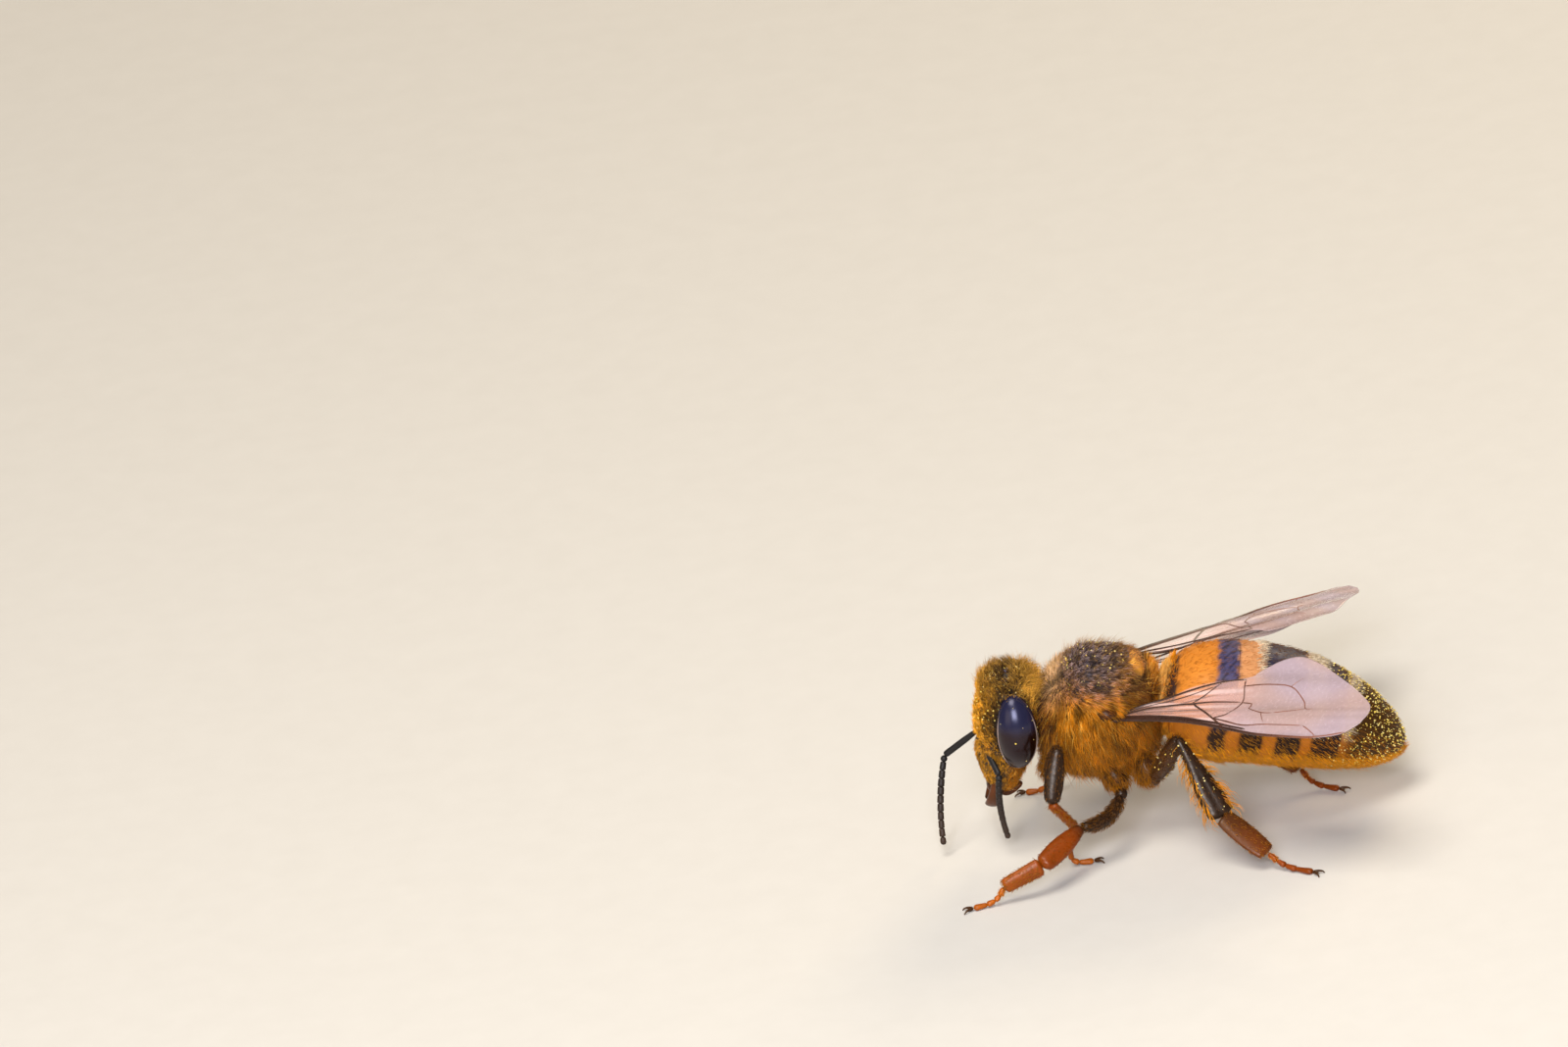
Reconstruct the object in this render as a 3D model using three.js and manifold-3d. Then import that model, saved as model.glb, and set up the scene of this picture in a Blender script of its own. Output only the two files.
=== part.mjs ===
// A worker honey bee, life-size, standing with its head to -X and its left side to -Y.
// The body is laid out in the bee's own frame, in millimetres: x forward, y to its left, z up its back,
// with the origin in the middle of the thorax. Two turned groups then stand it on the floor, at z = 0.
import * as THREE from "three";
import { mergeVertices } from "three/addons/utils/BufferGeometryUtils.js";
import Module from "manifold-3d";

const wasm = await Module();
wasm.setup();

// Stance
const PITCH = THREE.MathUtils.degToRad(9);
const THORAX_HEIGHT = 4.1;
const TOE_FLAT = 0.08;

// Fits
const GAP = 0.04;
const THIN = 0.25;
const NECK_ROOM = 0.22;

// Head: at each height its half-width, and how far forward its face and its nape lie
const HEAD_BOTTOM = -2.72;
const HEAD_TOP = 1.5;
const HEAD_WIDTH = [
  [HEAD_BOTTOM, 0.5], [-2.2, 0.98], [-1.2, 1.5], [-0.2, 1.8], [0.6, 1.62], [1.15, 1.2], [HEAD_TOP, 0.7],
];
const FACE = [
  [HEAD_BOTTOM, 2.98], [-2.2, 3.3], [-1.2, 3.62], [-0.2, 3.7], [0.6, 3.58], [1.15, 3.4], [HEAD_TOP, 2.9],
];
const NAPE = [
  [HEAD_BOTTOM, 2.5], [-2.2, 2.1], [-1.2, 1.72], [-0.2, 1.6], [0.6, 1.64], [1.15, 1.85], [HEAD_TOP, 2.2],
];
const EYE = { at: [2.28, 1.44, -0.18], half: [0.62, 0.5, 1.22], lean: 0.1, tuck: 0.12 };
const SOCKET = { forward: 3.42, side: 0.3, height: -0.85 };

// Thorax: reach forward and back, half-width, height of its back and depth of its breast
const THORAX = { front: 1.62, back: 1.92, half: 2.05, top: 2.38, bottom: 2.0, middle: 0.15 };
const SCUTELLUM = { at: [-1.28, 0, 1.32], half: [0.46, 1.02, 0.62] };
const TEGULA = { at: [-0.45, 1.9, 0.68], half: [0.4, 0.26, 0.27] };

// Abdomen: distances behind the thorax's middle, girth, and the slant of its rings
const ABDOMEN = { start: 2.1, fullest: 4.7, end: 9.58, half: 1.88, flatness: 1.1 };
const RING_SLANT = 0.17;
const RING_STEP = 0.03;
const RING_ENDS = [2.42, 4.2, 6.3, 7.55, 8.5];
const AXIS = { height: 0.25, level: 4, drop: 0.055, power: 1.83 };

// Wings: thickness, and for each side its root, sweep, rise and the lift of its hind edge
const WING_THICK = 2 * THIN;
const WINGS = {
  left: { sign: 1, root: [-0.6, 1.8, 0.41], sweep: 29, rise: 15.3, lift: 20 },
  right: { sign: -1, root: [-0.6, -1.8, 0.88], sweep: 33.5, rise: 0, lift: 12 },
};

// Legs: the joints from hip to claw, then half-widths of the pieces between them
const LEGS = {
  fore_left: {
    root: [1.0, 0.5, -1.2],
    joints: [[1.3, 0.9, -1.92], [1.03, 2.25, -0.28], [1.22, 2.95, -1.84], [0.48, 2.34, -2.89]],
    bow: [0, 0.1, 0],
    foot: [-0.1, 2.3, 1.25],
    half: [0.36, 0.3, 0.38, 0.25],
  },
  fore_right: {
    root: [1.0, -0.5, -1.2],
    joints: [[1.3, -0.9, -1.92], [1.2, -2.5, -0.8], [1.0, -3.0, -2.4], [1.25, -3.05, -3.42]],
    bow: [0, -0.1, 0.1],
    foot: [1.95, -3.2, 1.1],
    half: [0.36, 0.3, 0.34, 0.25],
  },
  mid_left: {
    root: [-0.4, 0.8, -1.3],
    joints: [[-0.95, 1.3, -2.08], [0.3, 2.84, -2.66], [1.52, 4.1, -3.36], [2.68, 4.28, -3.98]],
    bow: [-0.4, 0.3, -0.45],
    foot: [3.6, 4.42, 1.15],
    half: [0.38, 0.3, 0.34, 0.3],
  },
  mid_right: {
    root: [-0.4, -0.8, -1.3],
    joints: [[-0.95, -1.3, -2.08], [-1.0, -3.25, -1.55], [-1.5, -4.5, -2.98], [-2.25, -5.55, -3.3]],
    bow: [0, -0.1, 0.2],
    foot: [-3.05, -6.4, 1.2],
    half: [0.38, 0.3, 0.34, 0.3],
  },
  hind_left: {
    root: [-1.5, 0.8, -1.2],
    joints: [[-1.85, 1.2, -1.95], [-2.6, 2.3, 0.08], [-3.97, 3.52, -1.98], [-5.32, 4.4, -2.78]],
    bow: [-0.1, 0.15, 0.1],
    foot: [-6.7, 5.25, 1.6],
    half: [0.4, 0.34, 0.42, 0.44],
  },
  hind_right: {
    root: [-1.5, -0.8, -1.2],
    joints: [[-1.85, -1.2, -1.95], [-2.65, -2.4, -0.05], [-5.0, -1.75, -1.98], [-6.4, -1.0, -2.5]],
    bow: [-0.1, -0.15, 0.1],
    foot: [-7.6, -0.3, 1.45],
    half: [0.4, 0.34, 0.42, 0.44],
  },
};

const vec = (list) => new THREE.Vector3(...list);

// ---------------------------------------------------------------- solids

// A three.js geometry as a manifold solid, with its faces turned outwards.
function solid(geometry) {
  geometry.deleteAttribute("normal");
  geometry.deleteAttribute("uv");
  const merged = mergeVertices(geometry, 1e-5);
  const vertProperties = merged.attributes.position.array;
  const triVerts = new Uint32Array(merged.index.array);
  const made = new wasm.Manifold(new wasm.Mesh({ numProp: 3, vertProperties, triVerts }));
  if (made.volume() > 0) return made;
  const flipped = triVerts.slice().reverse();
  return new wasm.Manifold(new wasm.Mesh({ numProp: 3, vertProperties, triVerts: flipped }));
}

// The largest body of a solid that cuts may have left in pieces.
function largest(made) {
  const bodies = made.decompose();
  return bodies.reduce((a, b) => (a.volume() > b.volume() ? a : b));
}

const cut = (made, ...others) => largest(others.reduce((left, other) => left.subtract(other), made));

// A closed skin over elliptical rings. Each ring has its centre and its half-axes as vectors: across,
// up for its upper half and down for its lower half. The first and last centres close the ends.
function loft(rings, sides) {
  const points = [rings[0].pole ?? rings[0].centre];
  for (const { centre, across, up, down } of rings) {
    for (let i = 0; i < sides; i += 1) {
      const angle = (2 * Math.PI * i) / sides;
      const rise = Math.sin(angle);
      const point = centre.clone().addScaledVector(across, Math.cos(angle));
      points.push(point.addScaledVector(rise > 0 ? up : (down ?? up), rise));
    }
  }
  const last = rings[rings.length - 1];
  points.push(last.pole ?? last.centre);
  const at = (ring, i) => 1 + ring * sides + (i % sides);
  const end = points.length - 1;
  const faces = [];
  for (let i = 0; i < sides; i += 1) {
    faces.push(0, at(0, i + 1), at(0, i));
    faces.push(end, at(rings.length - 1, i), at(rings.length - 1, i + 1));
    for (let ring = 0; ring < rings.length - 1; ring += 1) {
      faces.push(at(ring, i), at(ring, i + 1), at(ring + 1, i));
      faces.push(at(ring, i + 1), at(ring + 1, i + 1), at(ring + 1, i));
    }
  }
  const geometry = new THREE.BufferGeometry().setFromPoints(points);
  geometry.setIndex(faces);
  return solid(geometry);
}

// Steps from 0 to 1 without the ends, closer together near them, as round ends need.
function roundSteps(count) {
  const turn = Math.PI / (count + 1);
  return Array.from({ length: count }, (_, i) => (1 - Math.cos(turn * (i + 1))) / 2);
}

// An ellipsoid, turned about the bee's y and x axes.
function ball({ at, half, lean = 0, tuck = 0, grow = 0, detail = 14 }) {
  const geometry = new THREE.SphereGeometry(1, detail, Math.round(detail * 0.6));
  geometry.scale(half[0] + grow, half[1] + grow, half[2] + grow);
  geometry.rotateY(lean);
  geometry.rotateX(tuck);
  geometry.translate(...at);
  return solid(geometry);
}

// A rounded spindle along a curve: half-width and half-thickness are functions of the way along,
// and the width lies as near as it can to the facing direction.
function spindle({ curve, wide, thick, facing, steps = 6, sides = 8, grow = 0 }) {
  const length = curve.getLength();
  const rings = roundSteps(steps).map((t) => {
    const tangent = curve.getTangent(t);
    const up = new THREE.Vector3().crossVectors(tangent, facing).normalize();
    const across = new THREE.Vector3().crossVectors(up, tangent).normalize();
    const radius = Math.min(thick(t), wide(t));
    const reach = Math.min(1, (Math.min(t, 1 - t) * length) / radius);
    const round = Math.sqrt(1 - (1 - reach) ** 2);
    return {
      centre: curve.getPoint(t),
      across: across.multiplyScalar(wide(t) * round + grow),
      up: up.multiplyScalar(thick(t) * round + grow),
    };
  });
  rings[0].pole = curve.getPoint(0).addScaledVector(curve.getTangent(0), -grow);
  rings[steps - 1].pole = curve.getPoint(1).addScaledVector(curve.getTangent(1), grow);
  return loft(rings, sides);
}

// A smooth curve through a few stations [x, y], for a profile.
function profile(stations) {
  const curve = new THREE.SplineCurve(stations.map(([x, y]) => new THREE.Vector2(x, y)));
  const samples = curve.getPoints(60);
  return (x) => {
    const after = samples.findIndex((p) => p.x >= x);
    if (after === 0) return samples[0].y;
    if (after < 0) return samples[samples.length - 1].y;
    const [a, b] = [samples[after - 1], samples[after]];
    return THREE.MathUtils.mapLinear(x, a.x, b.x, a.y, b.y);
  };
}

// ---------------------------------------------------------------- head

// The head in level slices from mouth to crown, out to the tips of its hair.
function headSolid(grow = 0) {
  const halfWidth = profile(HEAD_WIDTH);
  const face = profile(FACE);
  const nape = profile(NAPE);
  const heights = roundSteps(9).map((t) => THREE.MathUtils.lerp(HEAD_BOTTOM, HEAD_TOP, t));
  const rings = heights.map((z) => {
    const x = (face(z) + nape(z)) / 2;
    return {
      centre: new THREE.Vector3(x, 0, z),
      across: new THREE.Vector3(0, halfWidth(z) + grow, 0),
      up: new THREE.Vector3(face(z) - x + grow, 0, 0),
    };
  });
  rings[0].pole = rings[0].centre.clone().setZ(HEAD_BOTTOM - grow);
  rings[rings.length - 1].pole = rings[rings.length - 1].centre.clone().setZ(HEAD_TOP + grow);
  return loft(rings, 20);
}

const eye = (sign, grow = 0) => ball({
  at: [EYE.at[0], sign * EYE.at[1], EYE.at[2]],
  half: EYE.half,
  lean: EYE.lean,
  tuck: -sign * EYE.tuck,
  grow,
  detail: 14,
});

// One jaw, from the cheek down and in to its meeting tip.
const mandible = (sign, grow = 0) => spindle({
  curve: new THREE.QuadraticBezierCurve3(
    vec([2.86, sign * 0.72, -2.1]),
    vec([3.0, sign * 0.72, -2.85]),
    vec([2.92, sign * 0.3, -3.2]),
  ),
  wide: (t) => 0.36 - 0.08 * t,
  thick: () => THIN,
  facing: vec([1, 0, 0]),
  steps: 5,
  sides: 6,
  grow,
});

// The tongue folded back under the chin.
const proboscis = () => spindle({
  curve: new THREE.QuadraticBezierCurve3(vec([2.85, 0, -2.4]), vec([2.75, 0, -3.25]), vec([2.05, 0, -2.5])),
  wide: () => 0.3,
  thick: () => THIN,
  facing: vec([0, 1, 0]),
  sides: 8,
});

// A feeler has a straight scape from its socket to the elbow and a whip of ten rings beyond it.
function antenna(sign, elbow, tip) {
  const socket = vec([SOCKET.forward, sign * SOCKET.side, SOCKET.height]);
  const bow = elbow.clone().lerp(tip, 0.5).add(vec([0.22, 0, 0]));
  const scape = (grow) => spindle({
    curve: new THREE.LineCurve3(socket, elbow),
    wide: () => THIN,
    thick: () => THIN,
    facing: vec([0, 0, 1]),
    steps: 4,
    sides: 6,
    grow,
  });
  const whip = spindle({
    curve: new THREE.QuadraticBezierCurve3(elbow, bow, tip),
    wide: (t) => THIN + 0.03 * t,
    thick: (t) => THIN + 0.03 * t,
    facing: vec([0, 1, 0]),
    steps: 7,
    sides: 6,
  });
  return { scape, whip };
}

// ---------------------------------------------------------------- thorax

// The thorax along the body, out to the tips of its coat: an even dome in front, blunter behind.
function thoraxSolid(grow = 0) {
  const { front, back, half, top, bottom, middle } = THORAX;
  const rings = roundSteps(10).map((t) => {
    const x = THREE.MathUtils.lerp(-back, front, t);
    const reach = x > 0 ? (x / front) ** 2.1 : (-x / back) ** 4;
    const waistward = x > 0 ? reach : (-x / back) ** 2.6;
    const round = Math.sqrt(1 - reach);
    const under = Math.sqrt(1 - waistward);
    return {
      centre: new THREE.Vector3(x, 0, middle),
      across: new THREE.Vector3(0, half * under + grow, 0),
      up: new THREE.Vector3(0, 0, (top - middle) * round + grow),
      down: new THREE.Vector3(0, 0, (bottom + middle) * under + grow),
    };
  });
  rings[0].pole = new THREE.Vector3(-back - grow, 0, middle);
  rings[rings.length - 1].pole = new THREE.Vector3(front + grow, 0, middle);
  return loft(rings, 22);
}

const scutellum = (grow = 0) => ball({ ...SCUTELLUM, lean: 0.5, grow, detail: 12 });

// The scale over a wing's root.
function tegula(sign, grow = 0) {
  const [x, y, z] = TEGULA.at;
  return ball({ at: [x, sign * y, z], half: TEGULA.half, grow, detail: 8 });
}

// A short round link along the body, for the neck and the waist.
const link = (from, to, height, half) => spindle({
  curve: new THREE.LineCurve3(vec([from, 0, height]), vec([to, 0, height])),
  wide: () => half,
  thick: () => half,
  facing: vec([0, 1, 0]),
  steps: 5,
  sides: 10,
});

// ---------------------------------------------------------------- abdomen

const girth = (x) => {
  const { start, fullest, end, half } = ABDOMEN;
  if (x <= start || x >= end) return 0;
  if (x < fullest) return half * (1 - ((fullest - x) / (fullest - start)) ** 3) ** 0.36;
  return half * (1 - ((x - fullest) / (end - fullest)) ** 2.2) ** 0.5;
};

const axisHeight = (x) => AXIS.height - AXIS.drop * Math.max(0, x - AXIS.level) ** AXIS.power;

// One slanted ring of the abdomen at a distance behind the thorax's middle. Its top lies further back
// than its foot, and both lie on the body's own outline.
function abdomenRing(x, step = 0) {
  let half = girth(x);
  let middle = axisHeight(x);
  for (let turn = 0; turn < 4; turn += 1) {
    const back = x + RING_SLANT * half;
    const fore = x - RING_SLANT * half;
    const high = axisHeight(back) + girth(back);
    const low = axisHeight(fore) - girth(fore);
    const near = (high - low) / 2;
    half = (half + near) / 2;
    middle = (high + low) / 2;
  }
  return {
    centre: new THREE.Vector3(-x, 0, middle),
    across: new THREE.Vector3(0, ABDOMEN.flatness * half + step, 0),
    up: new THREE.Vector3(-RING_SLANT * half, 0, half + step),
  };
}

// Segment number i, a little wider at its hind edge than the next one's front.
function abdomenSegment(i) {
  const first = i === 0;
  const final = i === RING_ENDS.length;
  const from = first ? ABDOMEN.start : RING_ENDS[i - 1] + GAP / 2;
  const to = final ? ABDOMEN.end - 0.3 : RING_ENDS[i] - GAP / 2;
  const count = 4;
  const places = Array.from({ length: count }, (_, n) => {
    const t = n / (count - 1);
    if (first) return THREE.MathUtils.lerp(from + 0.1, to, t ** 1.6);
    return THREE.MathUtils.lerp(from, to, final ? Math.sin((t * Math.PI) / 2) : t);
  });
  const rings = places.map((x, n) => abdomenRing(x, final ? 0 : (RING_STEP * n) / (count - 1)));
  if (first) rings[0].pole = new THREE.Vector3(-from, 0, axisHeight(from));
  if (final) rings[count - 1].pole = new THREE.Vector3(-ABDOMEN.end, 0, axisHeight(ABDOMEN.end));
  return loft(rings, 24);
}

// ---------------------------------------------------------------- wings

const FORE_OUTLINE = [
  [0.1, 0.12], [3.1, -0.24], [5.3, -0.83], [7.1, -0.97], [8.4, -0.88], [9.1, -0.4], [9.15, 0.1],
  [8.3, 0.8], [7.2, 1.74], [6.1, 2.19], [5.1, 2.0], [4.3, 1.5], [2.6, 1.24], [0.9, 0.92],
];
const HIND_OUTLINE = [
  [0.8, 0.5], [2.6, 0.18], [5.0, -0.32], [6.6, -0.2], [7.1, 0.3],
  [6.4, 0.95], [5.0, 1.42], [3.2, 1.3], [1.7, 1.0],
];

// A wing slab: the outline is drawn along the wing's length and from its front to its hind edge,
// and level 0 is the fore wing, 1 the hind wing tucked under it.
function wingSolid({ sign, root, sweep, rise, lift }, outline, level) {
  const [out, up, tilt] = [sweep, rise, lift].map(THREE.MathUtils.degToRad);
  const flatWay = new THREE.Vector3(-Math.cos(out), sign * Math.sin(out), 0);
  const along = flatWay.multiplyScalar(Math.cos(up)).setZ(Math.sin(up));
  const across = new THREE.Vector3(0, -sign * Math.cos(tilt), Math.sin(tilt));
  across.addScaledVector(along, -across.dot(along)).normalize();
  const over = new THREE.Vector3().crossVectors(along, across).multiplyScalar(sign);
  const edge = new THREE.SplineCurve(outline.map(([s, c]) => new THREE.Vector2(s, c)));
  const shape = new THREE.Shape(edge.getPoints(outline.length * 2));
  const geometry = new THREE.ExtrudeGeometry(shape, { depth: WING_THICK, bevelEnabled: false });
  geometry.translate(0, 0, -WING_THICK / 2 - level * (WING_THICK + GAP));
  const frame = new THREE.Matrix4().makeBasis(along, across, over);
  geometry.applyMatrix4(frame.setPosition(...root));
  return solid(geometry);
}

// ---------------------------------------------------------------- legs

// The floor's upward normal in the bee's frame, and the point of a given height over the floor.
const FLOOR = new THREE.Vector3(Math.sin(PITCH), 0, Math.cos(PITCH));
function atHeight(x, y, height) {
  return new THREE.Vector3(x, y, (height - THORAX_HEIGHT - x * FLOOR.x) / FLOOR.z);
}

// Everything below the floor, for trimming the toes flat.
function underFloor() {
  const depth = 4;
  const geometry = new THREE.BoxGeometry(30, 30, depth);
  geometry.translate(0, 0, -depth / 2 - THORAX_HEIGHT);
  geometry.rotateY(PITCH);
  return solid(geometry);
}

// One leg as five pieces: hip, thigh, shin, heel and toes, each cut where the one before it ends.
function leg({ joints, bow, foot, half, root }, thorax) {
  const [hip, knee, ankle, instep] = joints.map(vec);
  const out = new THREE.Vector3(0, Math.sign(hip.y), 0);
  const swell = (most) => (t) => THIN + (most - THIN) * Math.sin(Math.PI * t ** 0.9) ** 0.8;
  const widen = (from, to) => (t) => THREE.MathUtils.lerp(from, to, THREE.MathUtils.smoothstep(t, 0, 0.8));
  const bend = (a, b, lift) => new THREE.QuadraticBezierCurve3(a, a.clone().lerp(b, 0.5).add(lift), b);
  const facing = vec([1, 0, 0.2]);
  const piece = (curve, wide, thick, steps) => (grow) => spindle({ curve, wide, thick, facing, steps, grow });

  const [hipHalf, thighHalf, shinHalf, heelHalf] = half;
  const coxa = piece(new THREE.LineCurve3(vec(root), hip), () => hipHalf + 0.06, () => hipHalf, 5);
  const femur = piece(bend(hip, knee, vec(bow)), swell(thighHalf), swell(thighHalf), 6);
  const tibia = piece(new THREE.LineCurve3(knee, ankle), widen(THIN, shinHalf), widen(THIN, 0.28), 6);
  const heel = piece(new THREE.LineCurve3(ankle, instep), () => heelHalf, () => THIN, 5);

  const [footX, footY, span] = foot;
  const level = THIN - TOE_FLAT;
  const tip = atHeight(footX, footY, level);
  const way = tip.clone().sub(instep).setZ(0).normalize();
  const behind = (reach, height) => atHeight(footX - way.x * reach, footY - way.y * reach, height);
  const heelEnd = behind(span * 0.7, level + 0.15);
  const laid = behind(span * 0.6, level - 0.02);
  const toePath = new THREE.CubicBezierCurve3(instep, heelEnd, laid, tip);
  const knuckle = (t) => THIN + 0.03 * t;
  const rodSize = { wide: knuckle, thick: knuckle, steps: 7, sides: 6 };
  const toeRod = spindle({ curve: toePath, facing: out, ...rodSize });
  const claw = (turn) => {
    const aim = way.clone().applyAxisAngle(new THREE.Vector3(0, 0, 1), turn).multiplyScalar(0.36);
    const point = atHeight(tip.x + aim.x, tip.y + aim.y, level);
    const curve = new THREE.LineCurve3(behind(0.28, level), point);
    const even = () => THIN;
    return spindle({ curve, wide: even, thick: even, facing: out, steps: 3, sides: 6 });
  };
  const toes = toeRod.add(claw(0.5)).add(claw(-0.5)).subtract(underFloor());

  return {
    coxa: cut(coxa(0), thorax),
    femur: cut(femur(0), coxa(GAP), thorax),
    tibia: cut(tibia(0), femur(GAP)),
    basitarsus: cut(heel(0), tibia(GAP)),
    toes: cut(toes, heel(GAP)),
    room: coxa(GAP).add(femur(GAP)).add(tibia(GAP)),
  };
}

// ---------------------------------------------------------------- assembly

const standing = new THREE.Group();
standing.position.z = THORAX_HEIGHT;
const bee = new THREE.Group();
bee.rotation.set(0, PITCH, Math.PI);
standing.add(bee);

const MATERIALS = {
  coat: { color: 0x7a5424, roughness: 0.9 },
  shell: { color: 0x1c1310, roughness: 0.35 },
  eye: { color: 0x14101c, roughness: 0.2 },
  amber: { color: 0xc9761c, roughness: 0.45 },
  brown: { color: 0x6b3410, roughness: 0.4 },
  wing: { color: 0xd9c2b4, roughness: 0.25 },
};

function place(name, made, finish) {
  const mesh = made.getMesh();
  const geometry = new THREE.BufferGeometry();
  geometry.setAttribute("position", new THREE.BufferAttribute(mesh.vertProperties, 3));
  geometry.setIndex(new THREE.BufferAttribute(mesh.triVerts, 1));
  geometry.computeVertexNormals();
  const material = new THREE.MeshStandardMaterial({ metalness: 0, ...MATERIALS[finish] });
  const node = new THREE.Mesh(geometry, material);
  node.name = name;
  bee.add(node);
}

const SIDES = { left: 1, right: -1 };
const eyeRoom = (grow) => eye(1, grow).add(eye(-1, grow));
const thoraxRoom = thoraxSolid(GAP);
const headRoom = headSolid(GAP).add(eyeRoom(GAP));

place("head", cut(headSolid(), eyeRoom(GAP), thoraxSolid(NECK_ROOM)), "coat");
const napeRoom = headSolid(GAP).subtract(thoraxSolid(NECK_ROOM - GAP));
place("neck", cut(link(1.3, 2.1, -0.35, 0.6), thoraxRoom, napeRoom), "coat");
place("thorax", cut(thoraxSolid(), scutellum(GAP), tegula(1, GAP), tegula(-1, GAP)), "coat");
place("scutellum", scutellum(), "amber");

const segments = Array.from({ length: RING_ENDS.length + 1 }, (_, i) => abdomenSegment(i));
segments.forEach((segment, i) => place(`abdomen_${i + 1}`, segment, i < 3 ? "amber" : "shell"));
const waist = link(-1.4, -2.5, 0, 0.5);
const frontRing = segments[0].translate([GAP, 0, 0]).add(segments[0]);
place("waist", cut(waist, thoraxRoom, frontRing), "shell");

const FEELERS = {
  left: antenna(1, vec([2.8, 1.45, -1.58]), vec([2.5, 0.85, -3.98])),
  right: antenna(-1, vec([4.45, -0.52, -1.84]), vec([4.47, 0.42, -4.42])),
};
const jaws = { left: cut(mandible(1), headRoom), right: cut(mandible(-1), headRoom) };
place("proboscis", cut(proboscis(), headRoom, mandible(1, GAP), mandible(-1, GAP)), "brown");

for (const [side, sign] of Object.entries(SIDES)) {
  place(`eye_${side}`, eye(sign), "eye");
  place(`mandible_${side}`, jaws[side], "brown");
  place(`antenna_scape_${side}`, cut(FEELERS[side].scape(0), headRoom), "shell");
  place(`antenna_whip_${side}`, cut(FEELERS[side].whip, FEELERS[side].scape(GAP)), "shell");
  place(`tegula_${side}`, tegula(sign), "brown");
}

const legRooms = {};
for (const [name, spec] of Object.entries(LEGS)) {
  const { room, ...pieces } = leg(spec, thoraxRoom);
  legRooms[name] = room;
  for (const [part, made] of Object.entries(pieces)) {
    const footward = part === "toes" || part === "basitarsus";
    place(`leg_${name}_${part}`, made, footward ? "brown" : "shell");
  }
}

const bodyRoom = thoraxRoom.add(scutellum(GAP)).add(tegula(1, GAP)).add(tegula(-1, GAP));
for (const [side, spec] of Object.entries(WINGS)) {
  const room = bodyRoom.add(legRooms[`hind_${side}`]);
  place(`forewing_${side}`, cut(wingSolid(spec, FORE_OUTLINE, 0), room), "wing");
  place(`hindwing_${side}`, cut(wingSolid(spec, HIND_OUTLINE, 1), room, segments[0], segments[1]), "wing");
}

// The origin lies under the middle of the whole, on the floor.
standing.updateMatrixWorld(true);
const box = new THREE.Box3().setFromObject(standing, true);
standing.position.x -= (box.min.x + box.max.x) / 2;
standing.position.y -= (box.min.y + box.max.y) / 2;

const root = new THREE.Group();
root.add(standing);
export default root;
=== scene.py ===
import math

import bmesh
import bpy
import numpy as np
from mathutils import Matrix, Vector, kdtree


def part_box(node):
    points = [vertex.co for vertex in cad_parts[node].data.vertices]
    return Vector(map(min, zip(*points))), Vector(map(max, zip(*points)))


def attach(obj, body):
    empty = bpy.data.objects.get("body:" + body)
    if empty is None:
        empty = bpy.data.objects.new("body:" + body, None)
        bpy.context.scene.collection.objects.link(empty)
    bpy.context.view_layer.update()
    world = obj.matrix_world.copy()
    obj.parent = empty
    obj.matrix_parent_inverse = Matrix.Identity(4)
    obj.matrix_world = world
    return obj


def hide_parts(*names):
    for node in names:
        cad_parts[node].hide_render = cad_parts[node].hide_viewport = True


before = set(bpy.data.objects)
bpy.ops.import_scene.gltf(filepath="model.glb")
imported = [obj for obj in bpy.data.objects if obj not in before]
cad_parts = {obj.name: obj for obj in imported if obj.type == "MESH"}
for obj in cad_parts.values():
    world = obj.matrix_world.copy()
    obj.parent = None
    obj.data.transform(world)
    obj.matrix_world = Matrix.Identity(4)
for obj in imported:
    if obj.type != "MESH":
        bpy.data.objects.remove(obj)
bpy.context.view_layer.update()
rng = np.random.default_rng(11)

# ---------------------------------------------------------------- stance, camera and light
# The bee is laid out in millimetres from the middle of its thorax: x forward, y to its left and z up its
# back. The frame's two eyes say where that middle lies, and the body stands with its head pitched up.
SIDES = {"left": 1, "right": -1}
PITCH = math.radians(9)
THORAX_HEIGHT = 4.1
EYE_AT = (2.28, 1.44, -0.18)
FORWARD = Vector((-math.cos(PITCH), 0, math.sin(PITCH)))
LEFT = Vector((0, -1, 0))
UP = Vector((math.sin(PITCH), 0, math.cos(PITCH)))
TURN = Matrix((FORWARD, LEFT, UP)).transposed()

eye_corners = [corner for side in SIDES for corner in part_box(f"eye_{side}")]
middle = sum(eye_corners, Vector()) / len(eye_corners) * 1000 - FORWARD * EYE_AT[0] - UP * EYE_AT[2]
middle.z = THORAX_HEIGHT
BEE = Matrix.Scale(0.001, 4) @ Matrix.Translation(middle) @ TURN.to_4x4()

VIEW_TILT = math.radians(25)
AIM_RIGHT, AIM_UP, VIEW_DISTANCE = 9.343, 5.612, 795.4
view_right = Vector((-1, 0, 0))
view_up = Vector((0, -math.sin(VIEW_TILT), math.cos(VIEW_TILT)))
view_back = Vector((0, math.cos(VIEW_TILT), math.sin(VIEW_TILT)))
view_from = BEE @ (view_up * AIM_UP - view_right * AIM_RIGHT + view_back * VIEW_DISTANCE)
view_turn = TURN @ Matrix((view_right, view_up, view_back)).transposed()
bpy.ops.object.camera_add()
camera = bpy.context.object
camera.name = "camera"
camera.matrix_world = Matrix.Translation(view_from) @ view_turn.to_4x4()
camera.data.lens = 600
camera.data.sensor_width = 36
camera.data.clip_start = 0.001
camera.data.clip_end = 10
scene = bpy.context.scene
scene.camera = camera
scene.view_settings.view_transform = "Standard"

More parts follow.
